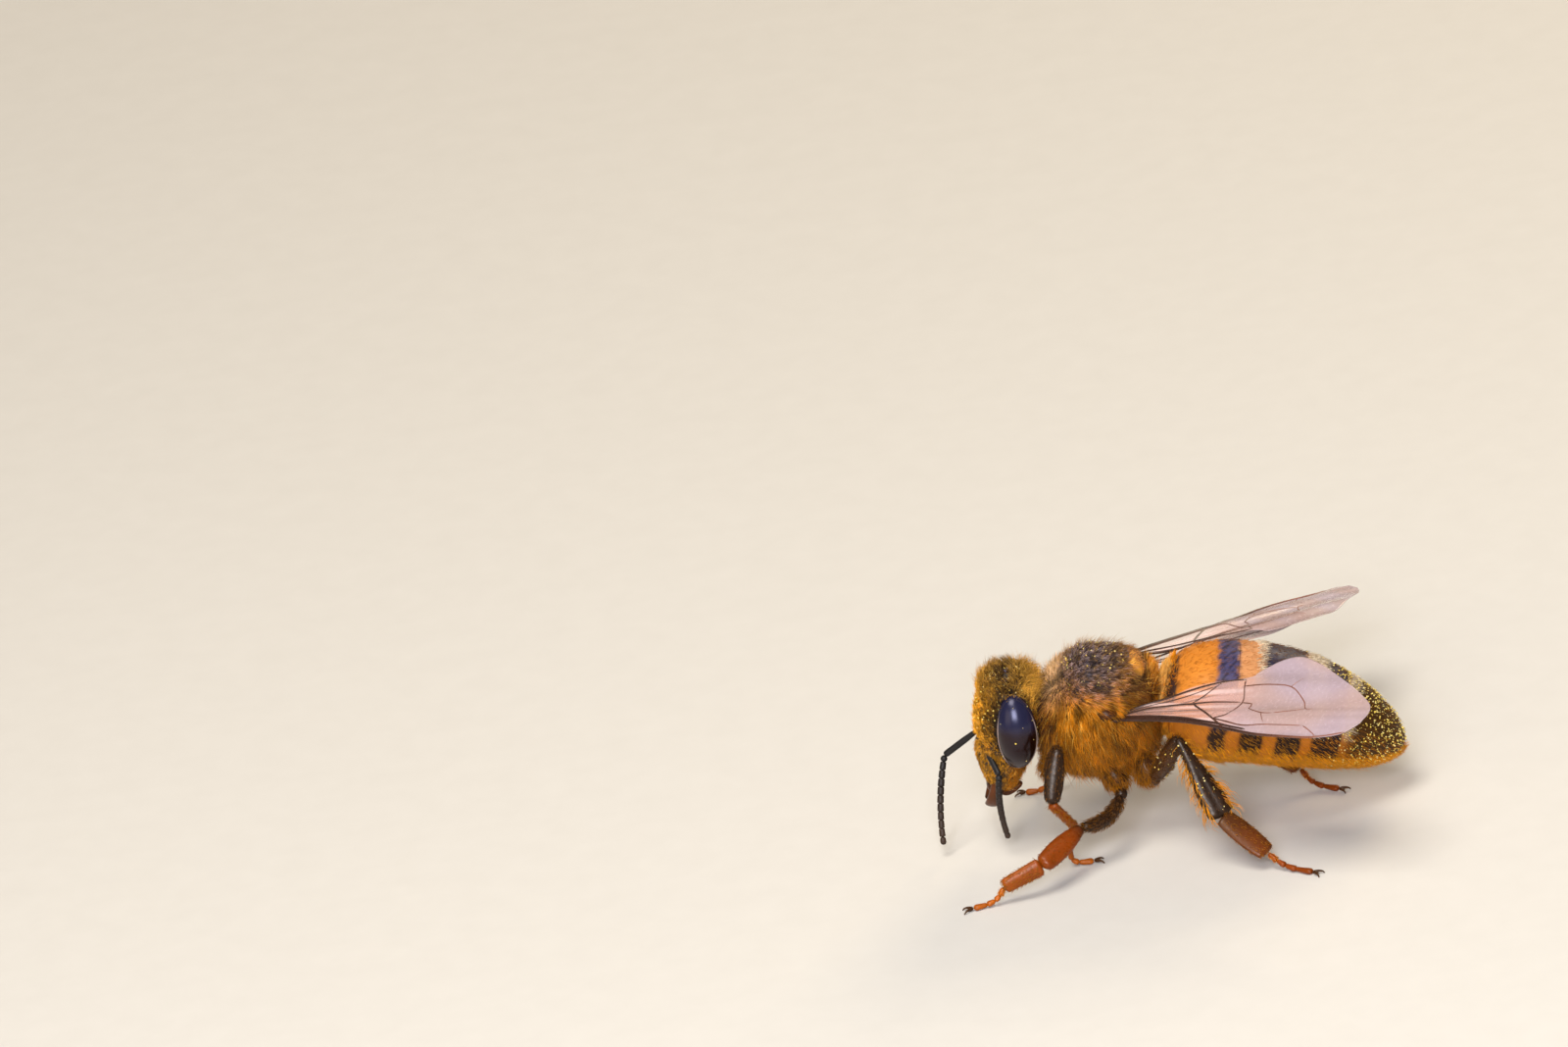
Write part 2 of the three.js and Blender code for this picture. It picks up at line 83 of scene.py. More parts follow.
LAMP_AIM = Vector((0, 0, 0.004))
LAMPS = {  # place, size, watts and colour
    "sky_softbox": ((-0.03, -0.06, 0.2), 0.1, 0.34, (1.0, 0.95, 0.87)),
    "front_softbox": ((-0.16, -0.18, 0.1), 0.14, 0.10, (1.0, 0.82, 0.56)),
    "back_softbox": ((0.1, 0.2, 0.12), 0.1, 0.3, (1.0, 0.82, 0.56)),
    "eye_softbox": ((-0.01, -0.19, 0.115), 0.085, 0.46, (0.86, 0.89, 1.0)),
}
for name, (place, size, power, colour) in LAMPS.items():
    bpy.ops.object.light_add(type="AREA", location=place)
    lamp = bpy.context.object
    lamp.name = name
    lamp.rotation_mode = "QUATERNION"
    lamp.rotation_quaternion = (LAMP_AIM - Vector(place)).to_track_quat("-Z", "Y")
    lamp.data.size = size
    lamp.data.energy = power
    lamp.data.color = colour
    lamp.visible_camera = False

SKY_COLOUR, SKY_STRENGTH = (1.0, 0.93, 0.84, 1), 0.19
world = bpy.data.worlds.new("studio")
scene.world = world
world.use_nodes = True
world.node_tree.nodes["Background"].inputs["Color"].default_value = SKY_COLOUR
world.node_tree.nodes["Background"].inputs["Strength"].default_value = SKY_STRENGTH


def added(nodes, kind, **constants):
    """A new node with constants on the sockets that its keywords name."""
    node = nodes.new("ShaderNode" + kind)
    for socket, value in constants.items():
        node.inputs[socket.replace("_", " ")].default_value = value
    return node


def material(name, **constants):
    """A new material, its nodes and links, and its shader with the given constants."""
    finish = bpy.data.materials.new(name)
    finish.use_nodes = True
    nodes, links = finish.node_tree.nodes, finish.node_tree.links
    nodes.clear()
    shader = added(nodes, "BsdfPrincipled", **constants)
    links.new(shader.outputs[0], added(nodes, "OutputMaterial").inputs["Surface"])
    return finish, nodes, links, shader


def noise(nodes, links, scale, detail=3.0, roughness=0.55):
    """Fine noise in the bee's place; the scale is in turns per metre."""
    grain = added(nodes, "TexNoise", Scale=scale, Detail=detail, Roughness=roughness)
    links.new(added(nodes, "TexCoord").outputs["Object"], grain.inputs["Vector"])
    return grain.outputs["Fac"]


def ranged(nodes, links, source, low, high, from_low=0.3, from_high=0.7):
    """A number from one range spread over another."""
    spread = added(nodes, "MapRange", From_Min=from_low, From_Max=from_high, To_Min=low, To_Max=high)
    links.new(source, spread.inputs["Value"])
    return spread.outputs["Result"]


def bumped(nodes, links, shader, height, strength, distance):
    bump = added(nodes, "Bump", Strength=strength, Distance=distance)
    links.new(height, bump.inputs["Height"])
    links.new(bump.outputs["Normal"], shader.inputs["Normal"])


def mesh_tint(nodes):
    """The colour that a piece carries on its points."""
    tint = added(nodes, "VertexColor")
    tint.layer_name = "tint"
    return tint


def mottled(nodes, links, shader, scale, low, high):
    """The mesh's colour, made darker and brighter in soft clouds."""
    shade = added(nodes, "HueSaturation")
    links.new(ranged(nodes, links, noise(nodes, links, scale), low, high), shade.inputs["Value"])
    links.new(mesh_tint(nodes).outputs["Color"], shade.inputs["Color"])
    links.new(shade.outputs["Color"], shader.inputs["Base Color"])


FLOOR_DARKER, FLOOR_LIGHTER = (0.60, 0.575, 0.53, 1), (0.64, 0.615, 0.57, 1)
FLOOR_SIZE = 4


def floor_finish():
    finish, nodes, links, shader = material("pale_floor", Roughness=0.6)
    ramp = added(nodes, "ValToRGB")
    ramp.color_ramp.elements[0].color = FLOOR_DARKER
    ramp.color_ramp.elements[1].color = FLOOR_LIGHTER
    links.new(noise(nodes, links, 900, 4), ramp.inputs["Fac"])
    links.new(ramp.outputs["Color"], shader.inputs["Base Color"])
    return finish


bpy.ops.mesh.primitive_plane_add(size=FLOOR_SIZE)
studio_floor = bpy.context.object
studio_floor.name = "studio_floor"
studio_floor.data.materials.append(floor_finish())

# ---------------------------------------------------------------- head capsule
# The head capsule is a hard box of chitin, widest at the eyes and narrow at the mouth, with a raised
# clypeus over the lip. It is one shell, and it hangs from the thorax by a thin neck.
HEAD_WIDTH = ((-2.72, 0.5), (-2.2, 0.98), (-1.2, 1.5), (-0.2, 1.8), (0.6, 1.62), (1.15, 1.2), (1.5, 0.7))
FACE = ((-2.72, 2.98), (-2.2, 3.3), (-1.2, 3.62), (-0.2, 3.7), (0.6, 3.58), (1.15, 3.4), (1.5, 2.9))
NAPE = ((-2.72, 2.5), (-2.2, 2.1), (-1.2, 1.72), (-0.2, 1.6), (0.6, 1.64), (1.15, 1.85), (1.5, 2.2))
CHEEK_COAT, FACE_COAT, NAPE_COAT = 0.14, 0.22, 0.1
SKIN_BOTTOM, CHIN_TOP, CROWN_FOOT, SKIN_TOP = -2.6, -2.0, 0.2, 1.06
CHEEK_PINCH, CLYPEUS_RISE, GROOVE_DEPTH = 0.2, 0.13, 0.03
HEAD_RINGS, HEAD_SIDES = 48, 72
HEAD_DARK = (0.022, 0.014, 0.010)
HEAD_AMBER = (0.20, 0.085, 0.02)


def through(points, per_span=12):
    """Points along a smooth curve through a few given ones."""
    points = np.asarray(points, float)
    padded = np.vstack([points[:1], points, points[-1:]])
    steps = np.linspace(0, 1, per_span, endpoint=False)[:, None]
    spans = []
    for a, b, c, d in zip(padded, padded[1:], padded[2:], padded[3:]):
        slope_b, slope_c = (c - a) / 2, (d - b) / 2
        cubic = 2 * b - 2 * c + slope_b + slope_c
        square = -3 * b + 3 * c - 2 * slope_b - slope_c
        spans.append(((cubic * steps + square) * steps + slope_b) * steps + b)
    return np.vstack([*spans, points[-1:]])


def profile(stations, x):
    curve = through(stations)
    return np.interp(x, curve[:, 0], curve[:, 1])


def round_steps(count):
    return (1 - np.cos(np.pi * np.arange(1, count + 1) / (count + 1))) / 2


def circle(count):
    return np.linspace(0, 2 * np.pi, count, endpoint=False)


def smooth(x, low, high):
    t = np.clip((np.asarray(x, float) - low) / (high - low), 0, 1)
    return t * t * (3 - 2 * t)


def between(x, low, full, fading, gone):
    return smooth(x, low, full) * (1 - smooth(x, fading, gone))


def unit(v):
    return v / np.maximum(np.linalg.norm(v, axis=-1, keepdims=True), 1e-9)


def wavy(points, pitch, seed):
    """A smooth made-up number from -1 to 1 at each point, which turns over every pitch."""
    chance = np.random.default_rng(seed)
    total = 0
    for _ in range(5):
        way = unit(chance.normal(size=3)) * chance.uniform(0.7, 1.5) * 2 * np.pi / pitch
        total = total + np.sin(points @ way + chance.uniform(0, 7))
    return total / 2.6


def mixed(a, b, share):
    share = np.asarray(share, float)[..., None]
    return np.asarray(a) * (1 - share) + np.asarray(b) * share


def settle(piece, name, finish, slot, *stands_for):
    """Names a piece made in the bee's own frame, stands it on the floor and fixes it to the body."""
    piece.name = piece.data.name = name
    piece.data.transform(BEE @ piece.matrix_basis)
    piece.matrix_basis = Matrix.Identity(4)
    piece.data.materials.clear()
    piece.data.materials.append(finish)
    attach(piece, "root")
    if stands_for:
        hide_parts(*stands_for)


def tinted(mesh, tint):
    """A piece from a mesh and one colour, or a colour for each of its points."""
    tint = np.asarray(tint, float)
    colours = np.ones((len(mesh.vertices), 4))
    colours[:, :tint.shape[-1]] = tint
    mesh.color_attributes.new("tint", "FLOAT_COLOR", "POINT").data.foreach_set("color", colours.ravel())
    piece = bpy.data.objects.new(mesh.name, mesh)
    scene.collection.objects.link(piece)
    return piece


def meshed(points, faces, tint):
    """A smooth piece from points and faces, with its faces turned outwards."""
    mesh = bpy.data.meshes.new("shell")
    mesh.from_pydata(points.tolist(), [], faces)
    shell = bmesh.new()
    shell.from_mesh(mesh)
    bmesh.ops.recalc_face_normals(shell, faces=shell.faces)
    shell.to_mesh(mesh)
    shell.free()
    mesh.shade_smooth()
    return tinted(mesh, tint)


def lofted(grids, tints):
    """One piece from closed skins, each a grid of rings of points that ends in a pole at each end."""
    points, faces, colours = [], [], []
    start = 0
    for grid, tint in zip(grids, tints):
        rings, sides, _ = grid.shape
        for field, rows in ((grid, points), (np.broadcast_to(tint, grid.shape), colours)):
            rows.append(np.vstack([field.reshape(-1, 3), field[0].mean(0), field[-1].mean(0)]))
        at = lambda ring, i: start + ring * sides + i % sides
        foot, top = start + rings * sides, start + rings * sides + 1
        for i in range(sides):
            faces.append((foot, at(0, i + 1), at(0, i)))
            faces.append((top, at(rings - 1, i), at(rings - 1, i + 1)))
            faces += [(at(r, i), at(r, i + 1), at(r + 1, i + 1), at(r + 1, i)) for r in range(rings - 1)]
        start = top + 1
    return meshed(np.vstack(points), faces, np.vstack(colours))


def chitin(name, rough=0.3, coat=0.5, pit=9000, depth=0.35, distance=1.5e-5, mottle=0.25, shine=0.5,
           gleam=(1, 1, 1)):
    """Hard cuticle, mottled and finely pitted, with a waxy gloss."""
    finish, nodes, links, shader = material(
        name, Coat_Weight=coat, Coat_Roughness=0.2, Specular_IOR_Level=shine, Specular_Tint=(*gleam, 1))
    mottled(nodes, links, shader, pit / 6, 1 - mottle, 1 + mottle)
    pits = noise(nodes, links, pit, 2)
    links.new(ranged(nodes, links, pits, rough - 0.07, rough + 0.12), shader.inputs["Roughness"])
    bumped(nodes, links, shader, pits, depth, distance)
    return finish


def head_skin():
    """The head in level rings, inside its coat of hair."""
    angle = circle(HEAD_SIDES)[None, :]
    z = SKIN_BOTTOM + (SKIN_TOP - SKIN_BOTTOM) * round_steps(HEAD_RINGS)[:, None] + 0 * angle
    face = profile(FACE, z) - FACE_COAT
    nape = profile(NAPE, z) + NAPE_COAT
    crown = np.clip((z - CROWN_FOOT) / (SKIN_TOP - CROWN_FOOT), 0, 1)
    chin = np.clip((CHIN_TOP - z) / (CHIN_TOP - SKIN_BOTTOM), 0, 1)
    close = np.sqrt(np.clip((1 - crown**7) * (1 - chin**4), 0.003, 1))
    x = (face + nape) / 2 + np.cos(angle) * (face - nape) / 2 * close
    cheek = smooth(x, 2.3, 3.1) * smooth(z, -1.9, -1.2) * (1 - 0.6 * smooth(z, 0.6, 1.0))
    y = np.sin(angle) * (profile(HEAD_WIDTH, z) - CHEEK_COAT) * close * (1 - CHEEK_PINCH * cheek)
    clypeus = np.exp(-np.abs(y / 0.62) ** 4) * between(z, -2.5, -2.25, -1.35, -1.1)
    groove = np.exp(-((y / 0.05) ** 2)) * between(z, -0.9, -0.5, 0.5, 0.9)
    x = x + (CLYPEUS_RISE * clypeus - GROOVE_DEPTH * groove) * (np.cos(angle) > 0)
    return np.stack([x, y, z], axis=-1)


head_grid = head_skin()
head_tint = mixed(HEAD_DARK, HEAD_AMBER, 1 - smooth(head_grid[..., 2], -2.45, -2.0))
HEAD_CHITIN = chitin("head_chitin", rough=0.5, coat=0.05, pit=14000)
settle(lofted([head_grid], [head_tint]), "head_capsule", HEAD_CHITIN, "shell", "head")

# ---------------------------------------------------------------- compound eyes
# Each eye is a smooth black dome of some 6,000 tiny lenses, set deep in the side of the head and held by a
# thin pale rim. Three simple eyes like glass beads sit on the crown.
EYE_HALF = (0.62, 0.5, 1.22)
EYE_LEAN, EYE_TUCK, EYE_WRAP = 0.1, 0.03, 0.2
EYE_BEND, EYE_SHIFT = 0.05, 0.02
EYE_SKY_REFLECTION = (0.011, 0.011, 0.032)
EYE_BROWN = (0.011, 0.003, 0.001)
BEAD_BROWN = (0.03, 0.015, 0.01)
BEAD_HALF = 0.12
BEAD_CLEAR = (0.22, 0.22, 0.22)
FACETS_PER_METRE = 36000
EYE_SEGMENTS = 96
BEAD_TOWARDS = {"middle": (3.05, 0.0, 1.1), "left": (2.62, 0.42, 1.15), "right": (2.62, -0.42, 1.15)}
RIM_TAN = (0.30, 0.21, 0.17)
RIM_DARK = (0.03, 0.016, 0.012)
RIM_LEVEL, RIM_PROUD = 0.17, 1.012
RIM_THIN, RIM_THICKER = 0.003, 0.014
RIM_STEPS, RIM_SIDES = 72, 8


def eye_turn(sign):
    """From the eye's own axes, x forward, y outward and z up, to the bee's."""
    place = Matrix.Translation((EYE_AT[0], sign * EYE_AT[1], EYE_AT[2]))
    return place @ Matrix.Rotation(-sign * EYE_TUCK, 4, "X") @ Matrix.Rotation(EYE_LEAN, 4, "Y")


def lens_finish():
    finish, nodes, links, shader = material(
        "eye_lenses", Specular_IOR_Level=0.42, Specular_Tint=(0.78, 0.76, 1.0, 1))
    links.new(mesh_tint(nodes).outputs["Color"], shader.inputs["Base Color"])
    facets = added(nodes, "TexVoronoi", Scale=FACETS_PER_METRE)
    links.new(added(nodes, "TexCoord").outputs["Object"], facets.inputs["Vector"])
    domed = facets.outputs["Distance"]
    links.new(ranged(nodes, links, domed, 0.17, 0.26, 0, 0.7), shader.inputs["Roughness"])
    bumped(nodes, links, shader, domed, 0.12, -2e-6)
    return finish


def ball(centre, half, segments):
    """The mesh of a sphere drawn out to three half-sizes and set in place."""
    bpy.ops.mesh.primitive_uv_sphere_add(segments=segments, ring_count=segments * 2 // 3, radius=1)
    piece = bpy.context.object
    bpy.ops.object.mode_set(mode="EDIT")
    bpy.ops.transform.resize(value=half)
    bpy.ops.object.mode_set(mode="OBJECT")
    mesh = piece.data
    bpy.data.objects.remove(piece)
    mesh.transform(Matrix.Translation(centre))
    mesh.shade_smooth()
    return mesh


def dome_place(centre):
    """A face's row from the foot of the dome up, and its step round it."""
    x, y, z = (c / half for c, half in zip(centre, EYE_HALF))
    row = math.floor((math.asin(z) / math.pi + 0.5) * EYE_SEGMENTS * 2 / 3)
    return row, math.floor((math.atan2(y, x) / math.tau + 1) * EYE_SEGMENTS)


def points_of(mesh):
    points = np.empty(len(mesh.vertices) * 3)
    mesh.vertices.foreach_get("co", points)
    return points.reshape(-1, 3)


def eye_rim(sign):
    """A bead that runs round the dome near its foot, thinner at the top."""
    turn = circle(RIM_STEPS)
    wide = math.sqrt(1 - (RIM_LEVEL / EYE_HALF[1]) ** 2) * RIM_PROUD
    ring = np.stack([
        EYE_HALF[0] * wide * np.cos(turn) - EYE_BEND * (1 - np.sin(turn) ** 2) + EYE_SHIFT,
        sign * (RIM_LEVEL - EYE_WRAP * (wide * np.sin(turn)) ** 2),
        EYE_HALF[2] * wide * np.sin(turn),
    ], axis=1)
    radius = RIM_THIN + RIM_THICKER * (1 - smooth(np.sin(turn), 0.3, 0.75))
    outward = unit(np.cross(unit(np.roll(ring, -1, 0) - np.roll(ring, 1, 0)), [0, 1, 0]))
    bead = circle(RIM_SIDES)[None, :, None]
    tube = ring[:, None] + radius[:, None, None] * (
        outward[:, None] * np.cos(bead) + np.array([0, 1, 0]) * np.sin(bead))
    at = lambda i, j: (i % RIM_STEPS) * RIM_SIDES + j % RIM_SIDES
    faces = [(at(i, j), at(i, j + 1), at(i + 1, j + 1), at(i + 1, j))
             for i in range(RIM_STEPS) for j in range(RIM_SIDES)]
    worn = smooth(np.abs(tube[..., 2] + 0.15), 0.45, 0.95)
    return meshed(tube.reshape(-1, 3), faces, mixed(RIM_TAN, RIM_DARK, worn).reshape(-1, 3))


EYE_LENS = lens_finish()
RIM_CHITIN = chitin("rim_chitin", rough=0.35, pit=16000)
eye_faces = []
for side, sign in SIDES.items():
    dome = ball((0, 0, 0), EYE_HALF, EYE_SEGMENTS)
    order = sorted(range(len(dome.polygons)), key=lambda k: dome_place(dome.polygons[k].center))
    for vertex in dome.vertices:
        x, y, z = vertex.co
        height = (z / EYE_HALF[2]) ** 2
        vertex.co.x = x - EYE_BEND * (1 - height) + EYE_SHIFT
        vertex.co.y = (y - EYE_WRAP * height) * sign
    dome.transform(eye_turn(sign))
    if sign < 0:
        dome.flip_normals()
    # The upper part of each dome is tinted blue: a painted reflection of the sky. Below it the eye keeps its
    # own dark brown.
    painted_sky_share = smooth(points_of(dome)[:, 2], -0.15, 0.3)
    for face in (dome.polygons[k] for k in order):  # in a fixed order, so the pollen falls the same each time
        eye_faces.append((*face.center, *face.normal, face.area))
    settle(tinted(dome, mixed(EYE_BROWN, EYE_SKY_REFLECTION, painted_sky_share)), f"eye_dome_{side}", EYE_LENS, "eye", f"eye_{side}")
    rim = eye_rim(sign)
    rim.data.transform(eye_turn(sign))
    settle(rim, f"eye_rim_{side}", RIM_CHITIN, "brown")

bead_spots = []
for spot, towards in BEAD_TOWARDS.items():
    skin = head_grid.reshape(-1, 3)
    place = skin[np.argmin(np.linalg.norm(skin - towards, axis=1))]
    bead_spots.append((place, BEAD_CLEAR))
    bead = ball(place, [BEAD_HALF] * 3, 24)
    settle(tinted(bead, BEAD_BROWN), f"simple_eye_{spot}", EYE_LENS, "eye")

# ---------------------------------------------------------------- jaws, lip and tongue
# Two brown spoon-shaped jaws hinge at the cheeks and meet under the lip. Behind them the tongue and its
# two sheaths are folded back under the chin.
JAW_BROWN = (0.085, 0.022, 0.004)
JAW_DARK = (0.02, 0.008, 0.004)


def bezier(*points):
    """A function from 0..1 to places on the curve that the given points pull."""
    points = [np.asarray(p, float) for p in points]
    order = len(points) - 1

    def place(t):
        t = np.atleast_1d(np.asarray(t, float))[:, None]
        return sum(math.comb(order, i) * (1 - t) ** (order - i) * t**i * p for i, p in enumerate(points))

    return place


def limb(place, wide, thick, facing, steps=26, sides=20, t_from=0.0, t_to=1.0, blunt=1.0):
    """Rings of a rounded rod along a curve. The width lies near the facing direction."""
    t = t_from + (t_to - t_from) * round_steps(steps)
    ahead = unit(place(np.minimum(t + 1e-3, 1)) - place(np.maximum(t - 1e-3, 0)))
    thickway = unit(np.cross(ahead, np.asarray(facing, float)))
    wideway = unit(np.cross(thickway, ahead))
    length = np.linalg.norm(np.diff(place(np.linspace(t_from, t_to, 30)), axis=0), axis=1).sum()
    share = (t - t_from) / (t_to - t_from)
    w, h = (np.broadcast_to(size(share), t.shape) for size in (wide, thick))
    reach = np.clip(np.minimum(share, 1 - share) * length / (np.minimum(w, h) * blunt), 0, 1)
    close = np.sqrt(1 - (1 - reach) ** 2)
    turn = circle(sides)[None, :, None]
    across = wideway[:, None] * (w * close)[:, None, None] * np.cos(turn)
    up = thickway[:, None] * (h * close)[:, None, None] * np.sin(turn)
    return place(t)[:, None] + across + up


def along(grid):
    """How far along its rings each point of a grid lies, from 0 to 1."""
    rings, sides, _ = grid.shape
    return np.repeat(np.linspace(0, 1, rings)[:, None], sides, axis=1)


MOUTH_CHITIN = chitin("mouth_chitin", rough=0.32, coat=0.04, pit=8000, shine=0.25, gleam=(1, 0.88, 0.78))
for side, sign in SIDES.items():
    jaw = limb(bezier((2.7, sign * 0.52, -1.9), (3.02, sign * 0.74, -2.75), (2.96, sign * 0.14, -3.16)),
               lambda t: 0.24 - 0.08 * np.sin(np.pi * t) + 0.03 * t, lambda t: 0.15 - 0.03 * t, (1, 0, 0))
    tint = mixed(JAW_BROWN, JAW_DARK, smooth(along(jaw), 0.7, 0.95))
    settle(lofted([jaw], [tint]), f"jaw_{side}", MOUTH_CHITIN, "brown", f"mandible_{side}")

lip = ball((3.06, 0, -2.5), (0.12, 0.36, 0.22), 28)
lip_tint = mixed(JAW_BROWN, JAW_DARK, smooth(points_of(lip)[:, 2], -2.6, -2.35))
settle(tinted(lip, lip_tint), "lip", MOUTH_CHITIN, "brown")

tongue_path = bezier((2.85, 0, -2.4), (2.75, 0, -3.2), (2.08, 0, -2.5))
tongue = [limb(tongue_path, lambda t: 0.1 - 0.03 * t, lambda t: 0.08 - 0.02 * t, (0, 1, 0), sides=14)]
for sign in SIDES.values():
    sheath = bezier((2.8, sign * 0.16, -2.4), (2.68, sign * 0.17, -3.1), (2.1, sign * 0.06, -2.5))
    tongue.append(limb(sheath, lambda t: 0.06, lambda t: 0.15 - 0.08 * t, (0, 1, 0), sides=14))
settle(lofted(tongue, [JAW_BROWN] * 3), "tongue", MOUTH_CHITIN, "brown", "proboscis")

# ---------------------------------------------------------------- feelers
# A feeler is a black rod of chitin: a long straight base turning in a ring socket on the face, a bead at
# the elbow, and ten short rings that make the whip.
FEELER_BLACK = (0.012, 0.010, 0.010)
FEELER_BROWN = (0.05, 0.026, 0.014)
SOCKET = (3.4, 0.3, -0.85)
FEELERS = {  # elbow and tip
    "left": ((2.8, 1.45, -1.58), (2.5, 0.85, -3.98)),
    "right": ((4.45, -0.52, -1.84), (4.47, 0.42, -4.42)),
}
WHIP_BOW = (0.22, 0, 0)
RINGS = 10
FIRST_RING, RING_LAP = 0.07, 0.004
FEELER_SIDES, SOCKET_BEAD = 18, 0.12
FEELER_CHITIN = chitin("feeler_chitin", rough=0.45, coat=0.03, pit=30000, depth=0.5, distance=6e-6,
                       shine=0.25)
for side, sign in SIDES.items():
    socket = np.array([SOCKET[0], sign * SOCKET[1], SOCKET[2]])
    elbow, tip = np.array(FEELERS[side])
    base = limb(bezier(socket, elbow), lambda t: 0.075 + 0.03 * smooth(t, 0, 0.5),
                lambda t: 0.07 + 0.025 * t, (0, 0, 1), steps=24, sides=FEELER_SIDES)
    root_bead = limb(bezier(socket - (elbow - socket) * 0.06, socket + (elbow - socket) * 0.07),
                     lambda t: SOCKET_BEAD, lambda t: SOCKET_BEAD, (0, 0, 1), 12, FEELER_SIDES)
    settle(lofted([base, root_bead], [FEELER_BLACK] * 2), f"feeler_base_{side}",
           FEELER_CHITIN, "shell", f"antenna_scape_{side}")
    whip = bezier(elbow, (elbow + tip) / 2 + np.array(WHIP_BOW), tip)
    flare = lambda t: 0.1 + 0.02 * t
    rings = [limb(whip, flare, flare, (0, 1, 0), 8, FEELER_SIDES, 0.0, 0.075)]
    for i in range(RINGS):
        start = FIRST_RING + (1 - FIRST_RING) * i / RINGS
        end = min(FIRST_RING + (1 - FIRST_RING) * (i + 1) / RINGS + RING_LAP, 1)
        swell = 0.095 + 0.012 * math.sin(math.pi * min(1, (i + 1) / 8))
        size = lambda t: swell * (0.93 + 0.07 * t)
        blunt = 0.35 if i < RINGS - 1 else 1.0
        rings.append(limb(whip, size, size, (0, 1, 0), 9, FEELER_SIDES, start, end, blunt))
    tints = [mixed(FEELER_BLACK, FEELER_BROWN, i / 14) for i in range(len(rings))]
    settle(lofted(rings, tints), f"feeler_whip_{side}", FEELER_CHITIN, "shell", f"antenna_whip_{side}")

# ---------------------------------------------------------------- thorax, neck and waist
# The thorax is a hard box packed with flight muscle, nearly round, with the neck at its front and the
# thread of a waist at its back, all one skin here. Its plates are near black under the hair.
THORAX = {"front": 1.3, "back": 1.78, "half": 1.62, "top": 1.98, "bottom": 1.62, "middle": 0.15}
NECK = {"height": -0.35, "half": 0.44}
WAIST = {"height": 0.0, "half": 0.36}
LINK_RINGS, THORAX_RINGS, THORAX_SIDES = 14, 52, 80
THORAX_DARK_SKY_TINT = (0.040, 0.026, 0.034)
THORAX_BROWN = (0.045, 0.022, 0.012)


def thorax_skin():
    """Rings from the waist's end to the neck's, domed over the wing muscles and rounder below."""
    x = np.concatenate([np.linspace(-2.45, -1.75, LINK_RINGS), -1.72 + 3.05 * round_steps(THORAX_RINGS),
                        np.linspace(1.36, 2.05, LINK_RINGS)])
    t = THORAX
    ahead = x > 0
    reach = np.abs(x / np.where(ahead, t["front"], t["back"]))
    dome = np.sqrt(np.clip(1 - reach ** np.where(ahead, 2.1, 4), 0, 1))
    under = np.sqrt(np.clip(1 - reach ** np.where(ahead, 2.1, 2.6), 0, 1))
    link = np.where(ahead, NECK["half"], WAIST["half"])
    height = np.where(ahead, NECK["height"], WAIST["height"])
    centre = height + (t["middle"] - height) * dome
    blend = lambda a: ((np.maximum(a, 0) ** 4 + link**4) ** 0.25)[:, None]
    top = blend((t["top"] - t["middle"]) * dome)
    bottom = blend((t["bottom"] + t["middle"]) * under)
    turn = circle(THORAX_SIDES)[None, :]
    rise = np.sin(turn)
    y = blend(t["half"] * under) * np.cos(turn)
    z = centre[:, None] + np.where(rise > 0, top, bottom) * rise
    return np.stack([x[:, None] + 0 * turn, y, z], axis=-1)


thorax_grid = thorax_skin()
# The shell is brown below and near black on top; the lilac in the top colour is a painted reflection of the
# sky.
thorax_tint = mixed(THORAX_BROWN, THORAX_DARK_SKY_TINT, smooth(thorax_grid[..., 2], -0.2, 1.2))
THORAX_CHITIN = chitin("thorax_chitin", rough=0.58, coat=0.0, pit=11000, depth=0.5)
settle(lofted([thorax_grid], [thorax_tint]), "thorax_shell", THORAX_CHITIN, "shell",
       "thorax", "neck", "waist")

# The scutellum is the tan cushion-shaped plate at the back of the thorax. A scale covers each wing root,
# and the small hard plates beside it are the wing's hinge.
SCUTELLUM_TAN = (0.78, 0.36, 0.04)
SCUTELLUM_AT, SCUTELLUM_HALF, SCUTELLUM_LEAN = (-1.18, 0, 1.3), (0.42, 0.96, 0.52), 0.5
HINGE_BLACK = (0.014, 0.008, 0.006)
SCALE_AT, SCALE_HALF = (-0.47, 1.8, 0.66), (0.3, 0.24, 0.17)
HINGE_PLATES = [  # place and half-size
    ((-0.32, 1.66, 0.5), (0.26, 0.22, 0.16)),
    ((-0.72, 1.78, 0.46), (0.2, 0.18, 0.09)),
    ((-0.95, 1.62, 0.55), (0.26, 0.2, 0.08)),
]
PLATE_LIFT = {"left": 0, "right": 0.21}

shield = ball((0, 0, 0), SCUTELLUM_HALF, 40)
shield.transform(Matrix.Translation(SCUTELLUM_AT) @ Matrix.Rotation(SCUTELLUM_LEAN, 4, "Y"))
shield_tint = mixed(SCUTELLUM_TAN, THORAX_BROWN, smooth(np.abs(points_of(shield)[:, 1]), 0.45, 0.95))
SHIELD_CHITIN = chitin("shield_chitin", rough=0.6, coat=0.0, pit=10000, shine=0.3)
settle(tinted(shield, shield_tint), "scutellum_plate", SHIELD_CHITIN, "amber", "scutellum")

for side, sign in SIDES.items():
    x, y, z = SCALE_AT
    scale = tinted(ball((x, sign * y, z), SCALE_HALF, 28), mixed(HINGE_BLACK, JAW_BROWN, 0.6))
    settle(scale, f"wing_scale_{side}", MOUTH_CHITIN, "brown", f"tegula_{side}")
    for i, ((x, y, z), half) in enumerate(HINGE_PLATES):
        plate = tinted(ball((x, sign * y, z + PLATE_LIFT[side] * i), half, 20), HINGE_BLACK)
        settle(plate, f"hinge_plate_{i + 1}_{side}", MOUTH_CHITIN, "brown")

